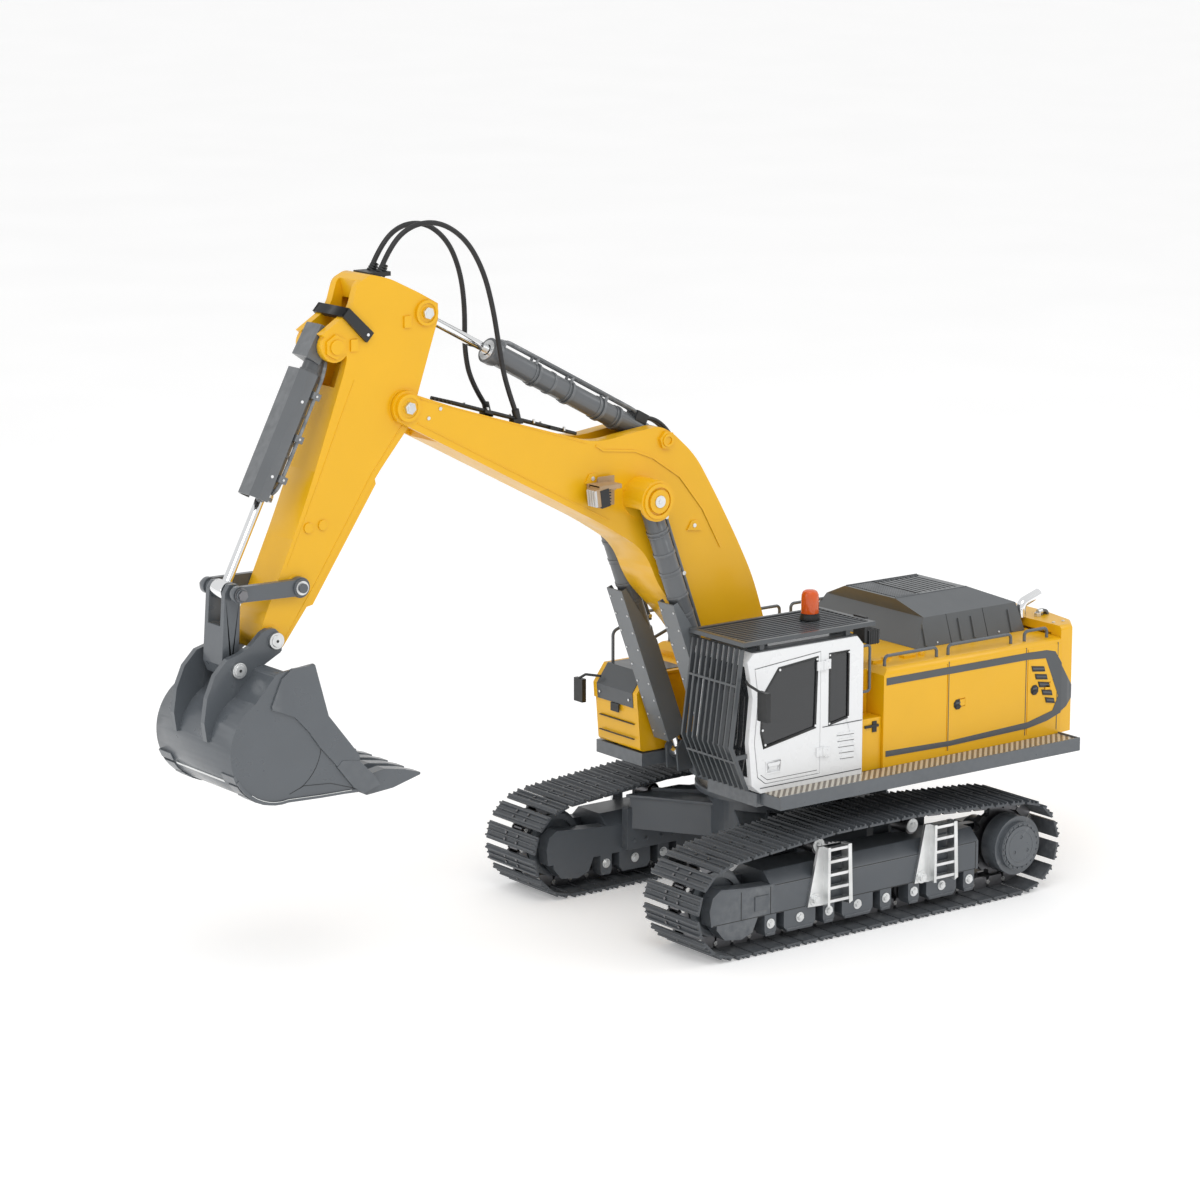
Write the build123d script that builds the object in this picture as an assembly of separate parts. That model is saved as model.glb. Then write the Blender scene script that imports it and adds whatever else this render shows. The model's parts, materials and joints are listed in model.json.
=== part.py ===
from build123d import *
import os
from math import acos, cos, hypot, pi, radians, sin, tan

# 1:14 crawler excavator, millimetres. +X is the front, +Y the machine's left, +Z up.
# Everything is drawn about the slew axis and moved by SLEW_X as it is written, so that
# the origin is under the centre of the whole machine, on the ground.
SLEW_X = -167.1

# undercarriage
GAUGE = 240.0
SHOE_WIDTH = 76.0
SHOE_COUNT = 48
PIN_R = 36.0
PINS_PER_TURN = 12
WHEEL_Z = 45.2
TOP_RISE = radians(4.5)
CARRIER_X = 55.0
PITCH = 2 * pi * PIN_R / PINS_PER_TURN
ROLLER_X = [122.0 - i * 33.3 for i in range(8)]
ROLLER_Z = 22.3
ROLLER_R = 8.0
FRAME_HALF = 27.0
IDLER_SHAFT = 24.0

# slewing gear
GEAR_TEETH = 60
PINION_TEETH = 12
MODULE = 100.0 / GEAR_TEETH
PINION_X = -(GEAR_TEETH - PINION_TEETH) * MODULE / 2
GEAR_Z = 104.0

# upper structure
DECK_Z = 122.0
FLOOR_Z = 134.0
BODY_HALF = 121.0
BODY_TOP = 226.0
SHEET = 3.0
CAB_RIGHT = 51.0
CAB_LEFT = 126.0
DOOR_HINGE_X = 46.0

# arm pivots (x, z) and half widths
BOOM_FOOT = (25.0, 165.0)
BOOM_PIN = (175.0, 391.0)
BOOM_BASE = (80.0, 135.0)
STICK_PIVOT = (417.0, 493.0)
STICK_BASE = (145.0, 438.0)
STICK_PIN = (394.0, 570.0)
BUCKET_BASE = (484.0, 549.0)
ROCKER_PIVOT = (525.0, 354.0)
ROCKER_PIN = (583.0, 355.0)
LINK_PIN = (587.0, 293.0)
BUCKET_PIN = (551.0, 313.0)
BOOM_HALF = 25.0
STICK_HALF = 20.0
BUCKET_HALF = 59.0
CYLINDER_Y = 37.5
TEETH_Y = [-49.0, -24.5, 0.0, 24.5, 49.0]


def face_xz(points, radius=0.0):
    at = [(x, 0, z) for x, z in points]
    line = FilletPolyline(*at, radius=radius, close=True) if radius else Polyline(*at, close=True)
    return make_face(line)


def flowing(points, sharp=(), share=0.42):
    """Corner radii that turn a closed outline into arcs, apart from its sharp corners."""
    radii = []
    for i, at in enumerate(points):
        before, after = points[i - 1], points[(i + 1) % len(points)]
        u, v = unit(before, at), unit(at, after)
        half_turn = acos(max(-1.0, min(1.0, u[0] * v[0] + u[1] * v[1]))) / 2
        run = min(dist(before, at), dist(at, after))
        radii.append(0 if i in sharp else share * run / tan(half_turn))
    return radii


def slab(points, y0, y1, radius=0.0):
    """A plate with an outline in X and Z, from y0 to y1."""
    return Pos(0, y0, 0) * extrude(face_xz(points, radius), amount=y1 - y0, dir=(0, 1, 0))


def plan(points, z0, z1):
    """A plate with an outline in X and Y, from z0 to z1."""
    return Pos(0, 0, z0) * extrude(make_face(Polyline(*points, close=True)), amount=z1 - z0)


def block(x0, x1, y0, y1, z0, z1):
    centre = Pos((x0 + x1) / 2, (y0 + y1) / 2, (z0 + z1) / 2)
    return centre * Box(x1 - x0, y1 - y0, z1 - z0)


def rod(p, q, r):
    p, q = Vector(*p), Vector(*q)
    along = q - p
    upright = Cylinder(r, along.length, align=(Align.CENTER, Align.CENTER, Align.MIN))
    return Plane(origin=p, z_dir=along) * upright


def disc(at, r, y0, y1):
    return rod((at[0], y0, at[1]), (at[0], y1, at[1]), r)


def bar(points, r, bend):
    """A round bar or pipe along a bent line."""
    path = FilletPolyline(*points, radius=bend) if len(points) > 2 else Line(*points)
    return sweep(Plane(path @ 0, z_dir=path % 0) * Circle(r), path=path)


def flip(shape):
    return mirror(shape, about=Plane.XZ)


def dist(p, q):
    return hypot(q[0] - p[0], q[1] - p[1])


def unit(p, q):
    length = dist(p, q)
    return ((q[0] - p[0]) / length, (q[1] - p[1]) / length)


def on_line(p, q, along, across=0.0):
    """The point at a distance along the line p to q, moved across it to its left."""
    ux, uz = unit(p, q)
    return (p[0] + ux * along - uz * across, p[1] + uz * along + ux * across)


def solids_of(shapes):
    found = []
    for shape in shapes:
        found += list(shape.solids())
    return found


def save(name, *shapes):
    solids = [Pos(SLEW_X, 0, 0) * s for s in solids_of(shapes)]
    export_step(solids[0] if len(solids) == 1 else Compound(children=solids), "parts/" + name + ".step")


# ---------------------------------------------------------------- undercarriage


def half_base():
    """Half the distance between sprocket and idler that a closed chain of whole links needs."""
    wraps = 2 * PIN_R * (pi - TOP_RISE)
    slopes = 2 * (PIN_R * sin(TOP_RISE) - CARRIER_X) / cos(TOP_RISE)
    return (SHOE_COUNT * PITCH - wraps - slopes - 2 * CARRIER_X) / (2 + 2 / cos(TOP_RISE))


HALF_BASE = half_base()


def chain_point(s):
    """Where the chain's pin line is after a length s, from the idler's bottom to the rear."""
    wrap = PIN_R * (pi - TOP_RISE)
    slope = (HALF_BASE - CARRIER_X + PIN_R * sin(TOP_RISE)) / cos(TOP_RISE)
    top_z = WHEEL_Z + PIN_R * cos(TOP_RISE) + slope * sin(TOP_RISE)
    s %= SHOE_COUNT * PITCH
    if s < 2 * HALF_BASE:
        return (HALF_BASE - s, WHEEL_Z - PIN_R)
    s -= 2 * HALF_BASE
    if s < wrap:
        a = -pi / 2 - s / PIN_R
        return (-HALF_BASE + PIN_R * cos(a), WHEEL_Z + PIN_R * sin(a))
    s -= wrap
    if s < slope:
        return (-CARRIER_X - (slope - s) * cos(TOP_RISE), top_z - (slope - s) * sin(TOP_RISE))
    s -= slope
    if s < 2 * CARRIER_X:
        return (-CARRIER_X + s, top_z)
    s -= 2 * CARRIER_X
    if s < slope:
        return (CARRIER_X + s * cos(TOP_RISE), top_z - s * sin(TOP_RISE))
    a = pi / 2 - TOP_RISE - (s - slope) / PIN_R
    return (HALF_BASE + PIN_R * cos(a), WHEEL_Z + PIN_R * sin(a))


def stations():
    """Start and end pins of every link."""
    pins = [chain_point(i * PITCH) for i in range(SHOE_COUNT)]
    return [(pins[i], pins[(i + 1) % SHOE_COUNT]) for i in range(SHOE_COUNT)]


def place(outline, p, q):
    """An outline given along and outward of a link, moved to the link from pin p to pin q."""
    middle = hypot(q[0] - p[0], q[1] - p[1]) / 2
    return [on_line(p, q, middle + u, v) for u, v in outline]


def track_shoe(p, q, yc):
    half = PITCH / 2 - 1.1
    outline = [(-half, 5), (half, 5), (half, 7), (half - 1.6, 7), (half - 2.4, 9.2)]
    outline += [(half - 3.6, 9.2), (half - 4.4, 7), (0.9, 7), (0.5, 8.6), (-0.5, 8.6), (-0.9, 7)]
    outline += [(4.4 - half, 7), (3.6 - half, 9.2), (2.4 - half, 9.2), (1.6 - half, 7), (-half, 7)]
    return slab(place(outline, p, q), yc - SHOE_WIDTH / 2, yc + SHOE_WIDTH / 2)


def chain_link(p, q, yc):
    half = PITCH / 2 - 0.3
    corner, height = half - 1.8, 4.9
    outline = [(-half, 0), (-corner, -height), (corner, -height)]
    outline += [(half, 0), (corner, height), (-corner, height)]
    plates = slab(place(outline, p, q), yc + 6, yc + 9) + slab(place(outline, p, q), yc - 9, yc - 6)
    return plates + disc(p, 2.5, yc - 6, yc + 6)


def track_shoes(yc):
    """The stations run so that outward is to the left of each link."""
    return [track_shoe(p, q, yc) for p, q in stations()]


def track_chain(yc):
    return [chain_link(p, q, yc) for p, q in stations()]


def frame_beam(yc):
    half = FRAME_HALF
    profile = [(-half, 31), (-13.5, 31), (-13.5, 33.6), (13.5, 33.6), (13.5, 31), (half, 31)]
    profile += [(half, 57.5), (half - 11, 68), (11 - half, 68), (-half, 57.5)]
    line = Polyline(*[(-122, yc + y, z) for y, z in profile], close=True)
    return extrude(make_face(line), amount=244, dir=(1, 0, 0))


NOSE = [(118, 31), (118, 58), (150, 60), (178, 63), (187, 57), (190, 46), (188, 31)]
NOSE_GUARD = [(136, 32), (182, 32), (182, 27), (173, 16.5), (154, 14), (142, 18.5)]
TAIL = [(-120, 31), (-120, 60), (-165, 58), (-176, 50), (-176, 40), (-165, 31)]
GUARDED_ROLLERS = (1, 3, 6)


def roller_bracket(i):
    """Outline of the plate that a roller's shaft is bolted to, long where it also guides the chain."""
    x, half, slope = ROLLER_X[i], 6.5, 1.5
    if i in GUARDED_ROLLERS:
        half, slope = 18.0, 4.0
    left = [(x - half, 33), (x - half, 17), (x - half + slope, 12)]
    return left + [(x + half - slope, 12), (x + half, 17), (x + half, 33)]


def track_frame(side):
    yc = side * GAUGE / 2
    body = frame_beam(yc)
    for a, b in ((13.5, FRAME_HALF), (-FRAME_HALF, -13.5)):
        body += slab(NOSE, yc + a, yc + b)
        body += slab(NOSE_GUARD, yc + a, yc + b)
        for i in range(len(ROLLER_X)):
            body += slab(roller_bracket(i), yc + a, yc + b)
    inner = -side * (FRAME_HALF - 4)
    body += slab(TAIL, yc + inner - 4, yc + inner + 4)
    body -= disc((HALF_BASE, WHEEL_Z), 5.05, yc - IDLER_SHAFT - 0.2, yc + IDLER_SHAFT + 0.2)
    body -= disc((-HALF_BASE, WHEEL_Z), 16.1, yc + inner - 5, yc + inner + 5)
    face = yc + side * FRAME_HALF
    body += block(125, 140, *sorted((face, face + side * 1.0)), 37, 50)
    for x in (-CARRIER_X, CARRIER_X):
        body += block(x - 5, x + 5, yc - 15, yc - 11.5, 66, 84)
    return body


def roller(x, yc):
    body = disc((x, ROLLER_Z), ROLLER_R, yc - 12, yc + 12)
    for a, b in ((-12, -9.4), (9.4, 12)):
        body += disc((x, ROLLER_Z), ROLLER_R + 1.8, yc + a, yc + b)
    return body + disc((x, ROLLER_Z), 3.5, yc - 13.5, yc + 13.5)


def carrier_roller(x, yc):
    slope = (HALF_BASE - CARRIER_X + PIN_R * sin(TOP_RISE)) / cos(TOP_RISE)
    z = WHEEL_Z + PIN_R * cos(TOP_RISE) + slope * sin(TOP_RISE) - 4.9 - 7.3
    return disc((x, z), 7, yc - 11, yc + 11) + disc((x, z), 3, yc - 11.5, yc + 11)


def track_rollers():
    pieces = []
    for yc in (-GAUGE / 2, GAUGE / 2):
        pieces += [roller(x, yc) for x in ROLLER_X]
        pieces += [carrier_roller(x, yc) for x in (-CARRIER_X, CARRIER_X)]
    return pieces


def sprocket(side):
    yc = side * GAUGE / 2
    first = next(i for i in range(SHOE_COUNT) if i * PITCH > 2 * HALF_BASE)
    start = -pi / 2 - (first * PITCH - 2 * HALF_BASE) / PIN_R
    outline = []
    for i in range(PINS_PER_TURN):
        middle = start + (i + 0.5) * 2 * pi / PINS_PER_TURN
        for r, a in ((29.5, -11.0), (33.1, -7.0), (33.1, 7.0), (29.5, 11.0)):
            angle = middle + radians(a)
            outline.append((-HALF_BASE + r * cos(angle), WHEEL_Z + r * sin(angle)))
    ring = slab(outline, yc - 3.5, yc + 3.5)
    return ring - disc((-HALF_BASE, WHEEL_Z), 22.0, yc - 5, yc + 5)


def final_drive(side):
    """Hub that carries the sprocket, with its drum and flat end cover."""
    yc = side * GAUGE / 2
    at = (-HALF_BASE, WHEEL_Z)
    body = disc(at, 21.9, *sorted((yc - side * 9, yc + side * 9.2)))
    body += disc(at, 27.5, *sorted((yc + side * 9.2, yc + side * 28)))
    body += disc(at, 22.5, *sorted((yc + side * 28, yc + side * 32)))
    body += disc(at, 19.0, *sorted((yc + side * 32, yc + side * 33.2)))
    for i in range(3):
        a = radians(90 + 120 * i)
        dimple = (at[0] + 9 * cos(a), at[1] + 9 * sin(a))
        body -= disc(dimple, 1.6, *sorted((yc + side * 32.2, yc + side * 34)))
    return body


def travel_motor(side):
    yc = side * GAUGE / 2
    at = (-HALF_BASE, WHEEL_Z)
    body = disc(at, 16.0, *sorted((yc - side * 9.4, yc - side * 34)))
    body += block(-HALF_BASE - 12, -HALF_BASE + 12, *sorted((yc - side * 34, yc - side * 46)), 34, 56)
    return body


def idler(side):
    yc = side * GAUGE / 2
    at = (HALF_BASE, WHEEL_Z)
    wheel = disc(at, 29.4, yc - 11, yc + 11) + disc(at, 32.6, yc - 4, yc + 4)
    for s in (-1, 1):
        wheel -= disc(at, 24, *sorted((yc + s * 8, yc + s * 12)))
        wheel += disc(at, 9, *sorted((yc + s * 7, yc + s * 13)))
    return wheel + disc(at, 5.0, yc - IDLER_SHAFT, yc + IDLER_SHAFT)


def centre_frame():
    hub = rod((0, 0, 58), (0, 0, 98), 60)
    body = hub + rod((0, 0, 98), (0, 0, GEAR_Z), 72)
    top = [(10, 50), (52, 12), (100, 86), (46, 86)]
    for sx in (-1, 1):
        for sy in (-1, 1):
            leg = plan([(sx * x, sy * y) for x, y in top], 54, 84)
            leg += plan([(sx * x, sy * y) for x, y in [(8, 52), (54, 10), (104, 87), (42, 87)]], 84, 87)
            foot = block(*sorted((sx * 42, sx * 104)), *sorted((sy * 84, sy * 93)), 34, 74)
            body += leg + foot
    body -= rod((0, 0, 50), (0, 0, 110), 36)
    return body


def toothed(count, r_root, r_tip, root_share, tip_share, turn=0.0):
    outline = []
    for i in range(count):
        middle = 2 * pi * i / count + turn
        corners = ((r_root, -root_share), (r_tip, -tip_share), (r_tip, tip_share), (r_root, root_share))
        for r, share in corners:
            a = middle + share * pi / count
            outline.append((r * cos(a), r * sin(a)))
    return make_face(Polyline(*outline, close=True))


def slew_gear():
    """Fixed ring with teeth inside, which the slewing pinion climbs round."""
    r = GEAR_TEETH * MODULE / 2
    hole = toothed(GEAR_TEETH, r + 2.2, r - 1.3, 0.62, 0.3, pi / GEAR_TEETH)
    ring = Circle(68) - hole
    return Pos(0, 0, GEAR_Z) * extrude(ring, amount=10)


def slew_pinion():
    r = PINION_TEETH * MODULE / 2
    gear = toothed(PINION_TEETH, r - 1.9, r + 1.4, 0.56, 0.22)
    body = Pos(PINION_X, 0, GEAR_Z + 1) * extrude(gear, amount=9)
    return body + rod((PINION_X, 0, GEAR_Z + 10), (PINION_X, 0, FLOOR_Z - 0.2), 4.0)


def ladder(x, side):
    """Step frame bolted to the outside of a track frame, with a wedge plate at its front."""
    face = side * (GAUGE / 2 + FRAME_HALF)
    out = face + side * 10
    wedge = [(x + 34, 31), (x + 15, 30), (x + 15, 84), (x + 22, 84)]
    rail = [(x - 8, 29), (x - 12, 31), (x - 10, 84), (x - 6, 84)]
    body = slab(wedge, *sorted((face + side * 0.1, face + side * 3)))
    post = [(x + 17, 30.5), (x + 14, 30), (x + 14, 84), (x + 17, 84)]
    body += slab(post, *sorted((face + side * 0.1, out)))
    body += slab(rail, *sorted((face + side * 0.1, out)))
    for z in (33, 45, 57, 69, 80):
        body += block(x - 9, x + 15, *sorted((out - side * 7, out - side * 0.6)), z, z + 2.6)
    return body


# -------------------------------------------------------------- upper structure


def slew_deck():
    half = BODY_HALF + 0.4
    outline = [(-246, -half), (-246, half), (118, half), (118, 52)]
    outline += [(60, 50), (60, -50), (112, -52), (112, -half)]
    body = plan(outline, DECK_Z, FLOOR_Z)
    body += rod((0, 0, GEAR_Z + 10.4), (0, 0, DECK_Z), 78)
    body -= rod((0, 0, GEAR_Z), (0, 0, FLOOR_Z - 2), 64)
    body -= rod((PINION_X, 0, GEAR_Z), (PINION_X, 0, FLOOR_Z + 1), 13)
    lug = [(-24, FLOOR_Z - 1), (50, FLOOR_Z - 1), (44, 160), (25 + 12, 175), (25, 180), (12, 174)]
    for s in (-1, 1):
        body += slab(lug, *sorted((s * 20.6, s * 27)))
        body += disc(BOOM_FOOT, 4.0, *sorted((s * 12.0, s * 30)))
        for a, b in ((28.3, 30.5), (44.5, 46.7)):
            cheek = [(50, 119), (88, 119), (90, 140), (84, 148), (58, 148)]
            body += slab(cheek, *sorted((s * a, s * b)))
    return body


def counterweight():
    half = [(-246, -119), (-262, -117), (-276, -100), (-284, -60), (-286, 0)]
    body = plan(half + [(x, -y) for x, y in reversed(half[:-1])], 134.3, 236)
    hollow = [(-200, -119), (-246, -119), (-246, -106), (-254, -90)]
    body -= plan(hollow + [(x, -y) for x, y in reversed(hollow)], 130, 228)
    return fillet(body.edges().filter_by(lambda e: e.center().Z > 235.9 and e.center().X < -250), 4)


def side_shell(side, x0, x1, y_in, wall, z1):
    """Sheet cover with an open bottom, and an open inner side where wall is below zero."""
    outer = [(x0, 134.2), (x1, 134.2), (x1, z1 - 6), (x1 - 6, z1), (x0, z1)]
    inner = [(x0 + SHEET, 130), (x1 - SHEET, 130), (x1 - SHEET, z1 - 8)]
    inner += [(x1 - 8, z1 - SHEET), (x0 + SHEET, z1 - SHEET)]
    body = slab(outer, *sorted((side * y_in, side * BODY_HALF)))
    edge = body.edges().filter_by(Axis.X).sort_by(lambda e: side * e.center().Y + e.center().Z)[-1]
    body = fillet(edge, 6)
    return body - slab(inner, *sorted((side * (y_in + wall), side * (BODY_HALF - SHEET))))


def motor_notch():
    return rod((PINION_X, 0, 130), (PINION_X, 0, 176), 16)


def left_body_panel():
    body = side_shell(1, -245.6, -28, 0.2, -1.0, BODY_TOP) - motor_notch()
    for x in (-104, -203):
        body -= block(x - 0.5, x + 0.5, BODY_HALF - 0.8, BODY_HALF + 1, 139, BODY_TOP - 6)
    for x in (-228, -122):
        body -= block(x - 4, x + 4, BODY_HALF - 0.8, BODY_HALF + 1, 178, 186)
        body += block(x - 3, x + 3, BODY_HALF - 1, BODY_HALF + 0.8, 179, 185)
    for i in range(5):
        z = 192 + i * 6
        body -= block(-240, -210, BODY_HALF - SHEET - 1, BODY_HALF + 1, z, z + 2.4)
    return body


def right_body_panel():
    body = side_shell(-1, -245.6, -28, 0.2, -1.0, BODY_TOP) - motor_notch()
    tank = side_shell(-1, -27.8, 44, 54, SHEET, BODY_TOP - 8)
    for x in (-104, -203):
        body -= block(x - 0.5, x + 0.5, -BODY_HALF - 1, -BODY_HALF + 0.8, 139, BODY_TOP - 6)
    return [body, tank]


def step_panel():
    """Lower stepped cover between the cab and the side panel."""
    x0, x1, z0 = -27.6, -0.6, 134.2
    low = block(x0, x1, 54, BODY_HALF - 3, z0, 182) + block(x0, x1, 54, 98, z0, BODY_TOP - 4)
    inside = block(x0 + SHEET, x1 - SHEET, 57, BODY_HALF - 6, 130, 182 - SHEET)
    inside += block(x0 + SHEET, x1 - SHEET, 57, 98 - SHEET, 130, BODY_TOP - 4 - SHEET)
    return low - inside


def hood_level(z, x0, x1, half):
    corners = ((x0, -half), (x1, -half), (x1, half), (x0, half))
    return (Pos(0, 0, z) * make_face(Polyline(*corners, close=True))).face()


def engine_hood():
    """Sloping cover in two tiers with cooling slots in its top."""
    z0 = BODY_TOP + 0.2
    body = loft([hood_level(z0, -238, -104, 78), hood_level(252, -234, -120, 69)])
    body += loft([hood_level(252, -234, -120, 69), hood_level(265, -204, -114, 36)])
    body -= loft([hood_level(z0 - 1, -235, -107, 75), hood_level(250, -231, -123, 66)])
    body -= loft([hood_level(249.9, -231, -123, 66), hood_level(262, -203, -117, 33)])
    for i in range(9):
        x = -196 + i * 6
        body -= block(x, x + 2.6, -29, 29, 259, 267)
    return body


def walkway(side):
    """Channel step with a raised rim beside the body."""
    x0, x1 = (-244, 114) if side > 0 else (-244, 82)
    y_in, y_out = 121.6, 150.0
    body = block(x0, x1, *sorted((side * y_in, side * y_out)), 124, 136.5)
    body -= block(x0 + 2, x1 + 1, *sorted((side * (y_in - 1), side * (y_out - 1.6))), 134.6, 140)
    body -= block(x0 + 2, x1 - 2, *sorted((side * (y_in - 1), side * (y_out - 1.8))), 120, 132.6)
    return body


def toolbox():
    outline = [(46, 135), (112, 135), (116, 186), (104, 204), (46, 204)]
    body = slab(outline, -118, -54, 4)
    body -= slab([(49, 137), (109, 137), (113, 184), (102, 201), (49, 201)], -115, -57, 3)
    lid = [(116.4, 176), (117.4, 190), (105, 207), (44, 207), (44, 204.4), (104, 204.4), (115, 187)]
    return [body, slab(lid, -119, -53)]


RAILS = [(-36, -98), (-112, -189), (-206, -234)]


def handrails():
    """Low rails along both body edges, the loop behind the cab and the rails round the toolbox."""
    rails = []
    for y in (-112, 112):
        for x0, x1 in RAILS:
            line = [(x0, y, BODY_TOP), (x0, y, BODY_TOP + 9), (x1, y, BODY_TOP + 9), (x1, y, BODY_TOP)]
            rails.append(bar(line, 1.5, 4))
    rails.append(bar([(0.9, 116, 249), (-15, 116, 249), (-15, 116, 207), (0.9, 116, 207)], 1.3, 3))
    for y in (-112, -60):
        rails.append(bar([(100, y, 207), (100, y, 236), (60, y, 250), (34, y, 250), (34, y, 218)], 1.5, 6))
    return rails


def exhaust_pipe():
    """Tail pipe that leaves behind the hood and points back."""
    y = 66
    body = bar([(-244, y, 236.2), (-244, y, 249), (-266, y, 256)], 4.6, 7)
    return body - rod((-252, y, 251.6), (-268, y, 256.7), 3.7)


CAB_SIDE = [(1, 135), (117, 135), (127, 143), (131, 182), (127, 222)]
CAB_SIDE += [(133, 255), (126, 262), (8, 262), (1, 254)]
CAB_INSIDE = [(4, 138), (116, 138), (124, 145), (128, 182), (124, 222)]
CAB_INSIDE += [(130, 253), (125, 259), (10, 259), (4, 252)]
DOOR = [(50, 143), (112, 143), (121, 150), (125, 182), (121, 222), (125, 248), (50, 254)]


def cab_shell():
    """White cab with openings for the door, the windscreen and the windows."""
    body = slab(CAB_SIDE, CAB_RIGHT, CAB_LEFT)
    body -= slab(CAB_INSIDE, CAB_RIGHT + 2.4, CAB_LEFT - 3)
    body -= slab(DOOR, CAB_LEFT - 4, CAB_LEFT + 1)
    body -= slab([(18, 190), (40, 186), (40, 250), (18, 250)], CAB_LEFT - 4, CAB_LEFT + 1, 4)
    body -= slab([(14, 176), (116, 176), (116, 250), (14, 250)], CAB_RIGHT - 1, CAB_RIGHT + 4, 4)
    body -= block(110, 140, CAB_RIGHT + 6, CAB_LEFT - 6, 150, 250)
    body -= block(-2, 6, CAB_RIGHT + 8, CAB_LEFT - 8, 190, 248)
    body -= block(30, 100, CAB_RIGHT + 14, CAB_LEFT - 14, 256, 264)
    return body


def cab_glass():
    """Fixed panes, each set in its own opening."""
    quarter = [(18.4, 190.8), (39.6, 186.8), (39.6, 249.6), (18.4, 249.6)]
    quarter = slab(quarter, CAB_LEFT - 2.2, CAB_LEFT - 1, 3.6)
    right = [(14.4, 176.4), (115.6, 176.4), (115.6, 249.6), (14.4, 249.6)]
    right = slab(right, CAB_RIGHT + 0.6, CAB_RIGHT + 1.8, 3.6)
    front = [(125.6, 150.4), (129.2, 182), (125.2, 222), (129.6, 249.6)]
    front += [(131, 249.6), (126.6, 222), (130.6, 182), (127, 150.4)]
    front = slab(front, CAB_RIGHT + 6.4, CAB_LEFT - 6.4)
    rear = block(2, 3.2, CAB_RIGHT + 8.4, CAB_LEFT - 8.4, 190.4, 247.6)
    roof = block(30.4, 99.6, CAB_RIGHT + 14.4, CAB_LEFT - 14.4, 260, 261.2)
    return [quarter, right, front, rear, roof]


def cab_seat():
    """Seat, its base and the two side consoles with their control levers."""
    y = (CAB_RIGHT + CAB_LEFT) / 2
    body = block(26, 66, y - 16, y + 16, 138.2, 156)
    cushions = [(24, 156), (68, 156), (70, 164), (36, 165), (30, 166), (20, 218), (12, 216), (18, 160)]
    body += slab(cushions, y - 15, y + 15)
    body += slab([(16, 216), (22, 217), (18, 236), (11, 235)], y - 8, y + 8)
    for s in (-1, 1):
        body += block(34, 78, *sorted((y + s * 16, y + s * 25)), 138.2, 176)
        body += rod((72, y + s * 20.5, 175), (76, y + s * 20.5, 192), 1.6)
        body += rod((76, y + s * 20.5, 190), (77, y + s * 20.5, 198), 3)
    return body


def cab_door():
    outline = [(50.6, 143.6), (111.8, 143.6), (120.3, 150.3), (124.3, 182)]
    outline += [(120.4, 222), (124.4, 247.4), (50.6, 253.3)]
    window = [(56, 186), (54, 249), (98, 245), (116, 222), (117.5, 190), (114, 176)]
    body = slab(outline, CAB_LEFT - 3, CAB_LEFT) - slab(window, CAB_LEFT - 4, CAB_LEFT + 1, 3)
    for z in (163, 241):
        body += block(DOOR_HINGE_X + 1.1, 55, CAB_LEFT, CAB_LEFT + 1.6, z - 4, z + 4)
        body += rod((DOOR_HINGE_X + 1, CAB_LEFT + 1.6, z - 4), (DOOR_HINGE_X + 1, CAB_LEFT + 1.6, z + 4), 1.4)
    body -= block(97, 110, CAB_LEFT - 1.2, CAB_LEFT + 1, 153, 161)
    return body + block(99, 108, CAB_LEFT - 1.4, CAB_LEFT + 0.4, 155.5, 158)


def door_glass():
    pane = [(56.4, 186.4), (54.5, 248.4), (97.8, 244.6), (115.6, 221.8), (117, 190.2), (113.7, 176.6)]
    return slab(pane, CAB_LEFT - 2.2, CAB_LEFT - 1, 2.6)


def cab_front_guard():
    """Bent vertical bars before the windscreen, with two cross bars and a frame."""
    spine = [(134, 266), (146, 180), (128, 139)]
    depth = 4.0
    outline = spine + [(x + depth, z) for x, z in reversed(spine)]
    bars = None
    count = 10
    for i in range(count):
        y = CAB_RIGHT + 3 + i * (CAB_LEFT - CAB_RIGHT - 8) / (count - 1)
        piece = slab(outline, y, y + 2)
        bars = piece if bars is None else bars + piece
    for x, z in ((139.6, 233), (141.0, 165)):
        bars += block(x, x + 3, CAB_RIGHT + 3, CAB_LEFT - 3, z, z + 2)
    for y in (CAB_RIGHT + 3, CAB_LEFT - 5):
        bars += block(130.5, 142, y, y + 2, 168, 172)
    return bars


def cab_roof_guard():
    x0, x1, y0, y1, z = -12.0, 138.0, 50.0, 127.0, 269.0
    body = block(x0, x1, y0, y1, z, z + 4) - block(x0 + 5, x1 - 5, y0 + 4, y1 - 4, z - 1, z + 5)
    count = 12
    for i in range(1, count):
        y = y0 + 4 + i * (y1 - y0 - 8) / count
        body += block(x0 + 4, x1 - 4, y - 1, y + 1, z + 0.5, z + 3.5)
    for x in (14, 112):
        for y in (CAB_RIGHT + 3, CAB_LEFT - 7):
            body += block(x, x + 5, y, y + 4, 262, z + 1)
    return body


def cab_lamps():
    beacon = rod((30, 86, 273), (30, 86, 279), 9)
    beacon += rod((30, 86, 279), (30, 86, 300), 8)
    bracket = block(-16, -12, 96, 112, 250, 274)
    lamp = block(-30, -16, 94, 114, 248, 262)
    return [beacon, bracket + lamp]


def mirrors():
    left = bar([(133, 124, 238), (140, 136, 238), (134, 146, 232)], 1.2, 3)
    left += block(128, 132.5, 139, 152, 206, 232)
    right = bar([(117, -108, 197), (124, -122, 197), (126, -130, 192)], 1.2, 3)
    right += block(122, 126.5, -137, -124, 170, 192)
    return [left, right]


def hydraulic_pump():
    motor = rod((-150, -50, 162), (-96, -50, 162), 20)
    block_ = block(-96, -70, -66, -34, 140, 180)
    foot = block(-146, -84, -62, -38, 134.2, 146)
    return motor + block_ + foot


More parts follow.
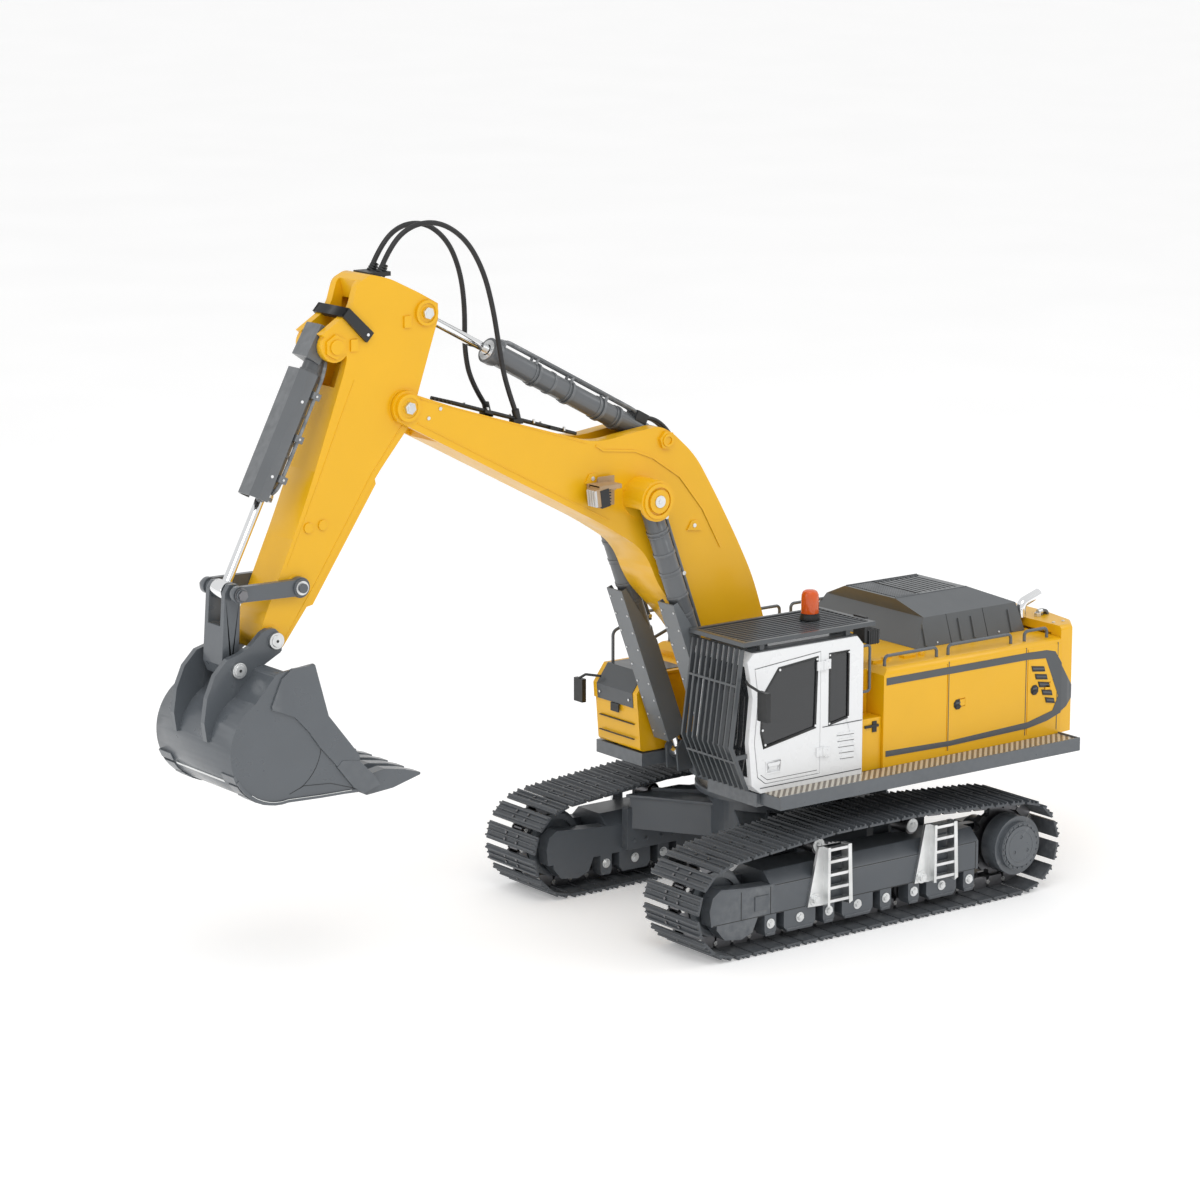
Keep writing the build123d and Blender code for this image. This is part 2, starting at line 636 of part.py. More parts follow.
def valve_block():
    body = block(-92, -34, 20, 62, 134.2, 168)
    for i in range(6):
        body += rod((-87 + i * 9.5, 41, 168), (-87 + i * 9.5, 41, 178), 3)
    return body


def slew_motor():
    can = rod((PINION_X, 0, FLOOR_Z + 0.2), (PINION_X, 0, 172), 15)
    return can - rod((PINION_X, 0, FLOOR_Z), (PINION_X, 0, FLOOR_Z + 4), 4.5)


# ------------------------------------------------------------------- boom, stick

BOOM_OUTLINE = [(419, 507), (365, 487), (221, 443), (182, 448), (152, 451), (138, 444), (112, 421), (88, 382)]
BOOM_OUTLINE += [(66, 343), (47, 306), (34, 268), (12, 182), (12, 152), (36, 150), (58, 190), (114, 268)]
BOOM_OUTLINE += [(151, 304), (168, 342), (207, 367), (428, 483)]
BOOM_SHARP = (0, 11, 12, 13, 19)
BOOM_HOLLOW = [(20, 204), (50, 300), (72, 342), (94, 380), (118, 412), (150, 426), (218, 428), (372, 479)]
BOOM_HOLLOW += [(372, 461), (207, 374), (164, 345), (146, 306), (108, 272), (52, 204)]


def boom():
    body = slab(BOOM_OUTLINE, -BOOM_HALF, BOOM_HALF, flowing(BOOM_OUTLINE, BOOM_SHARP))
    body += disc(STICK_PIVOT, 14, -BOOM_HALF, BOOM_HALF)
    body -= slab([(384, 440), (470, 480), (450, 540), (384, 520)], -STICK_HALF - 0.8, STICK_HALF + 0.8)
    body -= slab([(100, 460), (118, 400), (200, 428), (230, 445), (224, 470)], -11, 11)
    foot_cut = [(0, 140), (60, 140), (60, 192), (20, 192), (0, 200)]
    for s in (-1, 1):
        body -= slab(foot_cut, *sorted((s * 20.2, s * 40)))
    body -= disc(BOOM_FOOT, 4.05, -30, 30)
    body -= slab(BOOM_HOLLOW, 3 - BOOM_HALF, BOOM_HALF - 3)
    body += disc(STICK_BASE, 5, -BOOM_HALF - 2, BOOM_HALF + 2)
    body += disc(STICK_PIVOT, 6.0, -BOOM_HALF - 3, BOOM_HALF + 3)
    return body + cylinder_boss(1) + cylinder_boss(-1)


def cylinder_boss(side):
    """Hooded boss over the upper eye of a boom cylinder, open below for its swing."""
    y0, y1 = 24.5, 53.0
    hood = disc(BOOM_PIN, 18, *sorted((side * y0, side * y1)))
    hood -= disc(BOOM_PIN, 14.5, *sorted((side * (y0 + 2.5), side * (y1 - 4))))
    below = [on_line(BOOM_PIN, BOOM_BASE, 0, u) for u in (-30, 30)]
    below += [on_line(BOOM_PIN, BOOM_BASE, 30, u) for u in (30, -30)]
    hood -= slab(below, *sorted((side * (y0 + 2.5), side * (y1 - 4))))
    return hood + disc(BOOM_PIN, 5, *sorted((side * y0, side * y1)))


def boom_pipes():
    """Pressure pipes on their clips along the top of the boom."""
    pieces = []
    for y in (-15, -9, -3, 3, 9, 15):
        pieces.append(rod((366, y, 491.4), (236, y, 451.6), 1.6))
    return pieces


def pipe_clips():
    clips = []
    for x in (262, 330):
        z = 443 + (x - 221) * 44 / 144
        at = [(x - 4, z + 1.2), (x + 4, z + 3.6), (x + 3.4, z + 6.2), (x - 4.6, z + 3.8)]
        clips.append(slab(at, -19, 19))
    return clips


def boom_lamp():
    base = slab([(206, 392), (222, 392), (222, 412), (206, 412)], BOOM_HALF, BOOM_HALF + 4)
    arm = slab([(208, 405), (232, 405), (232, 409), (208, 409)], BOOM_HALF, BOOM_HALF + 20)
    lamp = slab([(222, 392), (234, 390), (236, 406), (224, 408)], BOOM_HALF + 6, BOOM_HALF + 20)
    return base + arm + lamp


def barrel(p, q, y, r, length, eye_r, eye_half, bore):
    """Cylinder barrel with a closed eye at p, pointing at q and open at its far end."""
    a = on_line(p, q, eye_r - 2)
    b = on_line(p, q, length)
    body = rod((a[0], y, a[1]), (b[0], y, b[1]), r)
    body += disc(p, eye_r, y - eye_half, y + eye_half)
    c = on_line(p, q, eye_r + 5)
    body -= rod((c[0], y, c[1]), (b[0] + (b[0] - a[0]) * 0.02, y, b[1] + (b[1] - a[1]) * 0.02), bore)
    for at in (0.34, 0.62, 0.985):
        d = on_line(p, q, length * at)
        e = on_line(p, q, length * at + 3)
        body += rod((d[0], y, d[1]), (e[0], y, e[1]), r + 0.7) - rod((d[0], y, d[1]), (e[0], y, e[1]), bore)
    return body


def bucket_barrel():
    """Barrel of the bucket cylinder with its square base housing."""
    body = barrel(BUCKET_BASE, ROCKER_PIN, 0, 9.0, 136, 10, 7.2, 5.4)
    corners = ((-13, 2), (-13, 15), (16, 17), (18, 2))
    body += slab([on_line(BUCKET_BASE, ROCKER_PIN, s, v) for s, v in corners], -11.2, 11.2)
    return body - disc(BUCKET_BASE, 4.55, -20, 20)


def bucket_barrel_guard():
    """Folded plate in front of the bucket cylinder's barrel."""
    section = [(15, 2), (15, 11), (8.5, 17), (-8.5, 17), (-15, 11), (-15, 2)]
    inside = [(13.4, 1), (13.4, 10.3), (7.8, 15.4), (-7.8, 15.4), (-13.4, 10.3), (-13.4, 1)]
    ux, uz = unit(BUCKET_BASE, ROCKER_PIN)
    start = on_line(BUCKET_BASE, ROCKER_PIN, 27)

    def level(outline):
        corners = [(start[0] - uz * v, y, start[1] + ux * v) for y, v in outline]
        return make_face(Polyline(*corners, close=True))

    along_barrel = (ux, 0, uz)
    body = extrude(level(section), amount=112, dir=along_barrel)
    body -= extrude(level(inside), amount=113, dir=along_barrel)
    for along in (45, 105):
        at = [on_line(BUCKET_BASE, ROCKER_PIN, along + s, v) for s, v in ((0, 8), (4, 8), (4, 16), (0, 16))]
        body += slab(at, -6, 6)
    return body


def piston_rod(p, q, y, r, inside, eye_r, eye_half):
    """Chrome rod with a solid eye at q, reaching back into the barrel towards p."""
    length = hypot(q[0] - p[0], q[1] - p[1])
    a = on_line(p, q, inside)
    b = on_line(p, q, length - eye_r + 1.5)
    return rod((a[0], y, a[1]), (b[0], y, b[1]), r) + disc(q, eye_r, y - eye_half, y + eye_half)


def boom_barrel(side):
    y = side * CYLINDER_Y
    body = barrel(BOOM_PIN, BOOM_BASE, y, 9.3, 152, 11, 8.2, 5.6)
    body -= disc(BOOM_PIN, 5.05, y - 20, y + 20)
    a, b = on_line(BOOM_PIN, BOOM_BASE, 22, -12.6), on_line(BOOM_PIN, BOOM_BASE, 142, -12.6)
    body += rod((a[0], y, a[1]), (b[0], y, b[1]), 1.5)
    for along in (24, 80, 138):
        c = on_line(BOOM_PIN, BOOM_BASE, along, -8)
        d = on_line(BOOM_PIN, BOOM_BASE, along, -12.6)
        body += rod((c[0], y, c[1]), (d[0], y, d[1]), 1.4)
    return body


def boom_rod_guard(side):
    """Folded plate that rides with the rod and shields it from the front."""
    y = side * CYLINDER_Y
    far = hypot(BOOM_PIN[0] - BOOM_BASE[0], BOOM_PIN[1] - BOOM_BASE[1])
    top, low = far - 176, far - 20

    def plate(corners, y0, y1):
        return slab([on_line(BOOM_PIN, BOOM_BASE, s, v) for s, v in corners], y + y0, y + y1)

    body = plate(((top, 13.2), (low, 13.2), (low, 14.6), (top, 14.6)), -11.2, 11.2)
    for a, b in ((-11.2, -10), (10, 11.2)):
        body += plate(((top, 13.3), (top, 9), (top + 60, -6), (low, -6), (low, 13.3)), a, b)
    return body + plate(((low - 20, 4.2), (low - 12, 4.2), (low - 12, 13.4), (low - 20, 13.4)), -10.4, 10.4)


def boom_rod(side):
    y = side * CYLINDER_Y
    return piston_rod(BOOM_PIN, BOOM_BASE, y, 4.2, 60, 8, 6.2)


STICK_OUTLINE = [(476, 527), (472, 541), (497, 560), (468, 578), (461, 600), (448, 606), (429, 601)]
STICK_OUTLINE += [(400, 587), (382, 577), (382, 564), (404, 500), (409, 480), (447, 436), (506, 348)]
STICK_OUTLINE += [(541, 303), (556, 301), (562, 313), (557, 331), (516, 420)]
STICK_SHARP = (0, 2, 8, 9)
STICK_HOLLOW = [(438, 585), (446, 560), (452, 470), (520, 366)]
STICK_HOLLOW += [(534, 366), (498, 440), (462, 530), (456, 585)]


def stick():
    body = slab(STICK_OUTLINE, -STICK_HALF, STICK_HALF, flowing(STICK_OUTLINE, STICK_SHARP, 0.3))
    for s in (-1, 1):
        body += disc(STICK_PIN, 12, *sorted((s * 12, s * STICK_HALF)))
        body += disc(BUCKET_BASE, 13, *sorted((s * 12, s * STICK_HALF)))
    body -= slab([(374, 548), (412, 548), (424, 588), (374, 620)], -9.6, 9.6)
    body -= slab([(470, 512), (449, 560), (462, 618), (520, 600), (510, 520)], -12, 12)
    body -= slab(STICK_HOLLOW, 3 - STICK_HALF, STICK_HALF - 3)
    body -= disc(STICK_PIVOT, 6.05, -30, 30)
    for s in (-1, 1):
        body += disc(STICK_PIN, 5, *sorted((s * 12, s * 22.5)))
    body += disc(BUCKET_BASE, 4.5, -23, 23)
    back, tip = (442, 443), (513, 338)
    wear = [on_line(back, tip, s, v) for s, v in ((8, 0), (12, -4), (126, -4), (130, 0), (130, 2), (8, 2))]
    body += slab(wear, 1 - STICK_HALF, STICK_HALF - 1)
    body -= disc(ROCKER_PIVOT, 4.05, -30, 30)
    body -= disc(BUCKET_PIN, 4.55, -30, 30)
    return body


def rocker_levers():
    """Pair of levers outside the stick, with the pin that they turn on."""
    body = disc(ROCKER_PIVOT, 4.0, -31, 31)
    ends = ((0, -7), (0, 7), (58, 6.5), (58, -6.5))
    outline = [on_line(ROCKER_PIVOT, ROCKER_PIN, s, v) for s, v in ends]
    for s in (-1, 1):
        y0, y1 = sorted((s * 20.6, s * 26.4))
        body += slab(outline, y0, y1) + disc(ROCKER_PIVOT, 8.6, y0, y1) + disc(ROCKER_PIN, 7, y0, y1)
        body += disc(ROCKER_PIVOT, 7.4, *sorted((s * 26.4, s * 28)))
        body += disc(ROCKER_PIN, 5, *sorted((s * 17.0, s * 30)))
    return body


def bucket_link():
    """Box link between the rocker levers and the bucket, forked round the rod's eye."""
    ends = ((-7, -4), (-7, 4), (0, 8), (60, 8.5), (69, 4), (69, -5), (62, -8), (0, -7))
    outline = [on_line(ROCKER_PIN, LINK_PIN, s, v) for s, v in ends]
    gap = [on_line(ROCKER_PIN, LINK_PIN, s, v) for s, v in ((-12, -14), (-12, 14), (28, 14), (28, -14))]
    return slab(outline, -15, 15) - slab(gap, -9.4, 9.4) - disc(LINK_PIN, 4.05, -30, 30)


DRUM = (569.4, 230.4)
DRUM_R = 46.0


def drum_point(angle, wall):
    r = DRUM_R - wall
    return (DRUM[0] + r * cos(radians(angle)), 0, DRUM[1] + r * sin(radians(angle)))


def bucket_section(wall, mouth):
    """Bucket profile with a round drum behind, closed along the mouth's points from top to lip."""
    low, middle, high = (drum_point(a, wall) for a in (-100, -20, 62))
    top = (570 - wall * 0.3, 0, 293.5 - wall)
    line = Polyline(high, top, *[(x, 0, z) for x, z in mouth], low)
    face = make_face(Curve() + [ThreePointArc(low, middle, high), line])
    corner = face.vertices().sort_by_distance(top)[0]
    return fillet(corner, 9 - wall)


def bucket_plate(points, y0, y1):
    """A pair of plates on the two sides of the bucket."""
    return [slab(points, *sorted((s * y0, s * y1))) for s in (-1, 1)]


CHEEK = [(534, 296.5), (556, 296), (566, 289), (576, 267), (575.6, 264), (566, 260.4), (554, 255)]
CHEEK += [(541, 241), (531, 227), (515, 209), (498, 188), (491, 191), (492, 214), (507, 233), (521.5, 251.5)]
EAR = [(545, 304), (545, 317), (551, 323), (558, 323.5), (564, 321), (575, 311), (586, 306), (597, 303)]
EAR += [(609, 291), (617, 273), (620.2, 253), (618, 237), (604, 236), (580, 268), (560, 287)]


def bucket():
    outer = bucket_section(0, [(534, 297), (522, 253), (492, 215), (490, 191), (488, 182)])
    inner = bucket_section(3, [(532, 310), (472, 300), (472, 188)])
    body = extrude(Pos(0, -BUCKET_HALF, 0) * outer, amount=2 * BUCKET_HALF, dir=(0, 1, 0))
    hollow = extrude(Pos(0, 3 - BUCKET_HALF, 0) * inner, amount=2 * BUCKET_HALF - 6, dir=(0, 1, 0))
    body -= hollow
    for ear in bucket_plate(EAR, 21.2, 27):
        body += ear - hollow
    for cheek in bucket_plate(CHEEK, BUCKET_HALF - 1, BUCKET_HALF + 1.4):
        body += cheek
    return body + disc(BUCKET_PIN, 4.5, -29, 29) + disc(LINK_PIN, 4.0, -29, 29)


def bucket_tooth(y):
    """Tooth and adapter over the lip of the bucket."""
    profile = [(487.8, 196), (480, 194.5), (464, 197), (444, 193.5), (428, 188.6)]
    profile += [(428, 186.6), (456, 179.2), (482, 177), (487.8, 180)]
    return slab(profile, y - 6.5, y + 6.5)


# --------------------------------------------------------------------- hoses

HOSE_R = 2.2
HOSES = [
    [(431, -7, 606), (420, -8, 626), (399, -10, 641), (372, -12, 641), (348, -14, 624),
     (334, -16, 596), (329, -17, 563), (330, -17, 529), (324, -16, 500), (309, -15, 478.5)],
    [(431, 7, 606), (421, 8, 627), (401, 10, 643), (374, 12, 644), (349, 14, 628),
     (333, 16, 601), (324, 17, 569), (318, 17, 536), (311, 16, 503), (299, 15, 475.5)],
]


def hose_bends(points):
    """Largest arc that the two runs beside each corner allow."""
    radii = []
    for a, b, c in zip(points, points[1:], points[2:]):
        u, v = Vector(*b) - Vector(*a), Vector(*c) - Vector(*b)
        half_turn = radians(u.get_angle(v) / 2)
        radii.append(0.45 * min(u.length, v.length) * cos(half_turn) / sin(half_turn))
    return radii


def hose(points):
    radii = hose_bends(points)
    path = FilletPolyline(*points, radius=radii)
    tube = sweep(Plane(path @ 0, z_dir=path % 0) * Circle(HOSE_R), path=path)
    share = tube.volume / (pi * HOSE_R ** 2 * path.length)
    bends = [round(r, 1) for r in radii]
    print("hose", round(path.length, 1), "radii", bends, "volume share", round(share, 4))
    return tube


def main():
    os.makedirs("parts", exist_ok=True)
    save("centre_frame", centre_frame())
    save("slew_gear", slew_gear())
    save("track_rollers", *track_rollers())
    save("travel_motors", travel_motor(1), travel_motor(-1))
    save("side_steps", *[ladder(x, s) for x in (48, -77) for s in (-1, 1)])
    for name, side in (("left_", 1), ("right_", -1)):
        yc = side * GAUGE / 2
        save(name + "track_frame", track_frame(side))
        save(name + "track_shoes", *track_shoes(yc))
        save(name + "track_chain", *track_chain(yc))
        save(name + "sprocket", sprocket(side))
        save(name + "final_drive", final_drive(side))
        save(name + "idler", idler(side))
        save(name + "boom_barrel", boom_barrel(side))
        save(name + "boom_rod", boom_rod(side))
        save(name + "boom_rod_guard", boom_rod_guard(side))
    save("slew_deck", slew_deck())
    save("slew_motor", slew_motor())
    save("slew_pinion", slew_pinion())
    save("counterweight", counterweight())
    save("left_body_panel", left_body_panel(), step_panel())
    save("right_body_panel", *right_body_panel())
    save("engine_hood", engine_hood())
    save("walkways", walkway(1), walkway(-1))
    save("toolbox", *toolbox())
    save("handrails", *handrails())
    save("exhaust_pipe", exhaust_pipe())
    save("cab_shell", cab_shell())
    save("cab_glass", *cab_glass())
    save("cab_seat", cab_seat())
    save("cab_door", cab_door())
    save("door_glass", door_glass())
    save("cab_front_guard", cab_front_guard())
    save("cab_roof_guard", cab_roof_guard())
    save("cab_lamps", *cab_lamps())
    save("mirrors", *mirrors())
    save("battery_pack", block(-236, -160, 40, 96, 134.2, 172))
    save("hydraulic_pump", hydraulic_pump())
    save("valve_block", valve_block())
    save("receiver_box", block(-80, -40, 66, 110, 134.2, 156))
    save("boom", boom())
    save("boom_pipes", *boom_pipes(), *pipe_clips())
    save("boom_lamp", boom_lamp())
    save("stick", stick())
    stick_tube = barrel(STICK_BASE, STICK_PIN, 0, 9.5, 196, 10, 8.8, 5.8) - disc(STICK_BASE, 5.05, -20, 20)
    save("stick_barrel", stick_tube)
    save("stick_rod", piston_rod(STICK_BASE, STICK_PIN, 0, 4.4, 120, 8, 8.6))
    save("bucket_barrel", bucket_barrel() + bucket_barrel_guard())
    save("bucket_rod", piston_rod(BUCKET_BASE, ROCKER_PIN, 0, 4.0, 60, 8, 8.6))
    save("rocker_levers", rocker_levers())
    save("bucket_link", bucket_link())
    save("bucket", bucket())
    save("bucket_teeth", *[bucket_tooth(y) for y in TEETH_Y])
    save("hoses", *[hose(points) for points in HOSES])


main()
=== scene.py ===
import json
import math

import bmesh
import bpy
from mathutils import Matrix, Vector


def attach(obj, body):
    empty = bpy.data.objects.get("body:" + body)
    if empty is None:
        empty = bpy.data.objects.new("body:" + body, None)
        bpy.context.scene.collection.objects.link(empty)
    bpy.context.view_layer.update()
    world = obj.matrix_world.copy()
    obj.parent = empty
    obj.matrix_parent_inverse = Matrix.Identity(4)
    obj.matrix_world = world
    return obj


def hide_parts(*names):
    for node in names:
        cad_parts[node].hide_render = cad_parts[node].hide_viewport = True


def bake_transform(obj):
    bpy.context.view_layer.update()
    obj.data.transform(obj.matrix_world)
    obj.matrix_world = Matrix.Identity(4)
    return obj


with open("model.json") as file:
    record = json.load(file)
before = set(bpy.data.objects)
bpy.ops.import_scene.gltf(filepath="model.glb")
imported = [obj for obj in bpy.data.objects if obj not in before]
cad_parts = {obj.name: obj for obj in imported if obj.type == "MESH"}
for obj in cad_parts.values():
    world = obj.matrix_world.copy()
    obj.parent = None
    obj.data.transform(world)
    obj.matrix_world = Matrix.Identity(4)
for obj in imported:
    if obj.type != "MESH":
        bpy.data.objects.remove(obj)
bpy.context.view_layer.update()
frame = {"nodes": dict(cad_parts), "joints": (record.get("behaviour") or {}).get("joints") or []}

MM = 0.001
NODES = frame["nodes"]
JOINTS = {j["name"]: j for j in frame["joints"]}
SLEW_X = JOINTS["slew"]["pos_m"][0] / MM


def joint_xz(name):
    """A joint's pivot as (x, z) in millimetres, with x from the slew axis."""
    x, _, z = JOINTS[name]["pos_m"]
    return (x / MM - SLEW_X, z / MM)


def row(x, y, z):
    """A point given in millimetres from the slew axis, in the row frame in metres."""
    return Vector(((x + SLEW_X) * MM, y * MM, z * MM))


# ------------------------------------------------------------------- camera


LENS_LENGTH = 116.02
CAMERA_AT = (2189.6, 2665.4, 1008.2)
CAMERA_TOWARDS = (-0.585245, -0.783477, -0.208937)


def make_camera():
    data = bpy.data.cameras.new("camera")
    data.lens = LENS_LENGTH
    data.sensor_width = 36.0
    data.clip_end = 50
    camera = bpy.data.objects.new("camera", data)
    bpy.context.scene.collection.objects.link(camera)
    camera.location = row(*CAMERA_AT)
    camera.rotation_euler = Vector(CAMERA_TOWARDS).to_track_quat("-Z", "Y").to_euler()
    bpy.context.scene.camera = camera


make_camera()

# ---------------------------------------------------------------- materials


def new_material(name):
    mat = bpy.data.materials.new(name)
    mat.use_nodes = True
    tree = mat.node_tree
    tree.nodes.clear()
    out = tree.nodes.new("ShaderNodeOutputMaterial")
    shader = tree.nodes.new("ShaderNodeBsdfPrincipled")
    tree.links.new(shader.outputs[0], out.inputs[0])
    return mat, tree, shader


def feed(tree, node, values):
    """Sets a node's inputs by name, linking those whose value is another node's socket."""
    for name, value in values.items():
        if isinstance(value, bpy.types.NodeSocket):
            tree.links.new(value, node.inputs[name])
        else:
            node.inputs[name].default_value = value


def add_node(tree, kind, values):
    node = tree.nodes.new("ShaderNode" + kind)
    feed(tree, node, values)
    return node


def coordinates(tree):
    return add_node(tree, "TexCoord", {}).outputs["Object"]


def noise(tree, scale, detail=3.0, rough=0.5):
    values = {"Vector": coordinates(tree), "Scale": scale, "Detail": detail, "Roughness": rough}
    return add_node(tree, "TexNoise", values).outputs["Fac"]


def ramp(tree, source, low, high, at=(0.3, 0.7)):
    node = add_node(tree, "ValToRGB", {"Fac": source})
    for element, position, colour in zip(node.color_ramp.elements, at, (low, high)):
        element.position = position
        element.color = (*colour, 1)
    return node.outputs[0]


def spread(tree, source, low, high):
    values = {"Value": source, "From Min": 0.25, "From Max": 0.75, "To Min": low, "To Max": high}
    return add_node(tree, "MapRange", values).outputs[0]


def bump(tree, shader, source, strength, distance):
    values = {"Height": source, "Strength": strength, "Distance": distance}
    feed(tree, shader, {"Normal": add_node(tree, "Bump", values).outputs[0]})


def paint(tree, shader, source, colour, shade):
    """Base colour that drifts with the source from a darker to a lighter shade."""
    dark = [c * (1 - shade) for c in colour]
    light = [min(1, c * (1 + shade)) for c in colour]
    feed(tree, shader, {"Base Color": ramp(tree, source, dark, light)})


def gloss(tree, shader, source, low, high):
    feed(tree, shader, {"Roughness": spread(tree, source, low, high)})


# Pointiness at which the painted edge highlight starts to show.
EDGE_HIGHLIGHT_START = 0.53


def paint_edge_highlights(tree, base, edge_highlight):
    """Painted highlight on sharp edges, not wear: mixes a paler colour in where the surface is sharply convex,
    broken up by noise.
    """
    pointed = add_node(tree, "NewGeometry", {}).outputs["Pointiness"]
    values = {"Value": pointed, "From Min": EDGE_HIGHLIGHT_START, "From Max": EDGE_HIGHLIGHT_START + 0.09}
    edge = add_node(tree, "MapRange", values).outputs[0]
    patchy = add_node(tree, "Math", {})
    patchy.operation = "MULTIPLY"
    tree.links.new(edge, patchy.inputs[0])
    tree.links.new(spread(tree, noise(tree, 160, 4), 0.0, 0.75), patchy.inputs[1])
    mix = add_node(tree, "Mix", {})
    mix.data_type = "RGBA"
    feed(tree, mix, {"Factor": patchy.outputs[0], "A": base, "B": (*edge_highlight, 1)})
    return mix.outputs["Result"]


def enamel(name, colour, rough, coat, grain=900, shade=0.05, edge_highlight=None):
    """Sprayed enamel: fine orange peel, slow drift of shade and of gloss, and a painted highlight on sharp
    edges where a colour for it is given.
    """
    mat, tree, shader = new_material(name)
    paint(tree, shader, noise(tree, 22, 4), colour, shade)
    # Painted highlight: a paler colour on the sharp edges.
    if edge_highlight:
        base = shader.inputs["Base Color"].links[0].from_socket
        feed(tree, shader, {"Base Color": paint_edge_highlights(tree, base, edge_highlight)})
    gloss(tree, shader, noise(tree, 60, 5), rough * 0.85, rough * 1.2)
    feed(tree, shader, {"Coat Weight": coat, "Coat Roughness": 0.12})
    bump(tree, shader, noise(tree, grain, 2), 0.25, 0.00003)
    return mat


def metal(name, colour, rough, grain=500, shade=0.12):
    """Bare metal with fine machining marks and patches of duller finish."""
    mat, tree, shader = new_material(name)
    paint(tree, shader, noise(tree, 45, 5), colour, shade)
    gloss(tree, shader, noise(tree, 120, 6, 0.7), rough * 0.7, rough * 1.3)
    feed(tree, shader, {"Metallic": 1.0})
    bump(tree, shader, noise(tree, grain, 3), 0.2, 0.00002)
    return mat


def moulded(name, colour, rough, grain=1400, depth=0.00005):
    """Moulded plastic or rubber with a fine leather-like grain."""
    mat, tree, shader = new_material(name)
    paint(tree, shader, noise(tree, 70, 4), colour, 0.12)
    gloss(tree, shader, noise(tree, 200, 4), rough * 0.8, rough * 1.25)
    bump(tree, shader, noise(tree, grain, 3), 0.4, depth)
    return mat


def pane(name, colour, see, rough=0.05):
    """Smoked glazing: a dark gloss surface that still shows the inside faintly."""
    mat, tree, shader = new_material(name)
    dark = [c * 0.8 for c in colour]
    feed(tree, shader, {"Base Color": ramp(tree, noise(tree, 12, 2), dark, colour)})
    gloss(tree, shader, noise(tree, 30, 3), rough * 0.7, rough * 1.6)
    feed(tree, shader, {"Transmission Weight": see, "IOR": 1.46})
    feed(tree, shader, {"Coat Weight": 0.4, "Coat Roughness": 0.03})
    return mat


def tread_plate(name, base, mark):
    """Walkway plate with raised diagonal strokes, paler than the plate between them."""
    mat, tree, shader = new_material(name)
    turned = add_node(tree, "Mapping", {"Vector": coordinates(tree), "Rotation": (0, 0, 0.75)}).outputs[0]
    values = {"Vector": turned, "Scale": 66, "Distortion": 0.0}
    raised = add_node(tree, "TexWave", values).outputs["Fac"]
    feed(tree, shader, {"Base Color": ramp(tree, raised, base, mark, at=(0.4, 0.6))})
    gloss(tree, shader, noise(tree, 80, 4), 0.3, 0.5)
    feed(tree, shader, {"Metallic": 0.3})
    bump(tree, shader, raised, 0.6, 0.0004)
    return mat


def perforated(name, colour, hole):
    """Painted sheet pierced by rows of small round holes."""
    mat, tree, shader = new_material(name)
    cells = add_node(tree, "TexVoronoi", {"Vector": coordinates(tree), "Scale": 330, "Randomness": 0.0})
    cells.voronoi_dimensions = "2D"
    values = {"Value": cells.outputs["Distance"], "From Min": 0.27, "From Max": 0.34}
    solid = add_node(tree, "MapRange", values).outputs[0]
    feed(tree, shader, {"Base Color": ramp(tree, solid, hole, colour)})
    gloss(tree, shader, noise(tree, 60, 4), 0.4, 0.6)
    bump(tree, shader, solid, 0.5, 0.0003)
    return mat


YELLOW = enamel("enamel_yellow", (0.80, 0.43, 0.0015), rough=0.36, coat=0.12, shade=0.02)
# The paler colours given to four of these greys are painted highlights on their sharp edges.
GREY = enamel("enamel_grey", (0.088, 0.099, 0.111), rough=0.3, coat=0.25, edge_highlight=(0.17, 0.18, 0.19))
TRACK = enamel("enamel_track", (0.074, 0.084, 0.096), rough=0.36, coat=0.2, edge_highlight=(0.17, 0.18, 0.19))
SHOE = enamel("shoe_grey", (0.058, 0.065, 0.074), rough=0.42, coat=0.1, grain=500, edge_highlight=(0.18, 0.185, 0.19))
DARK = enamel("enamel_dark", (0.066, 0.073, 0.08), rough=0.36, coat=0.2)
HOOD = enamel("hood_grey", (0.09, 0.099, 0.107), rough=0.34, coat=0.25)
HOOD_TOP = perforated("perforated_grey", (0.13, 0.14, 0.15), (0.02, 0.02, 0.022))
CYLINDER = enamel("cylinder_grey", (0.11, 0.118, 0.126), rough=0.36, coat=0.25, edge_highlight=(0.3, 0.31, 0.32))
PALE = enamel("guard_grey", (0.13, 0.142, 0.152), rough=0.34, coat=0.25, shade=0.04)
WHITE = enamel("enamel_white", (0.79, 0.8, 0.81), rough=0.28, coat=0.3, shade=0.006)
STEEL = metal("turned_steel", (0.62, 0.62, 0.61), 0.28)
SILVER = metal("zinc_silver", (0.74, 0.75, 0.75), 0.36)
CHROME = metal("hard_chrome", (0.88, 0.89, 0.9), 0.07, grain=300, shade=0.03)
GUNMETAL = metal("dark_steel", (0.2, 0.2, 0.21), 0.4)
BRONZE = metal("gear_steel", (0.42, 0.38, 0.33), 0.35)
BLACK = moulded("black_plastic", (0.016, 0.017, 0.018), 0.42)
RUBBER = moulded("hose_rubber", (0.014, 0.014, 0.015), 0.5, grain=2600, depth=0.00008)
SEAT = moulded("seat_vinyl", (0.03, 0.031, 0.034), 0.62, grain=900, depth=0.00012)
TAN = moulded("tan_plate", (0.40, 0.27, 0.15), 0.45)
ORANGE = pane("amber_lens", (0.9, 0.13, 0.012), 0.15, rough=0.12)
BLUE = moulded("battery_sleeve", (0.02, 0.09, 0.3), 0.3)
SMOKE = pane("smoked_glass", (0.035, 0.038, 0.042), 0.35)
LENS = pane("lamp_lens", (0.85, 0.87, 0.88), 0.3, rough=0.1)
TREAD = tread_plate("tread_plate", (0.2, 0.17, 0.14), (0.62, 0.58, 0.5))

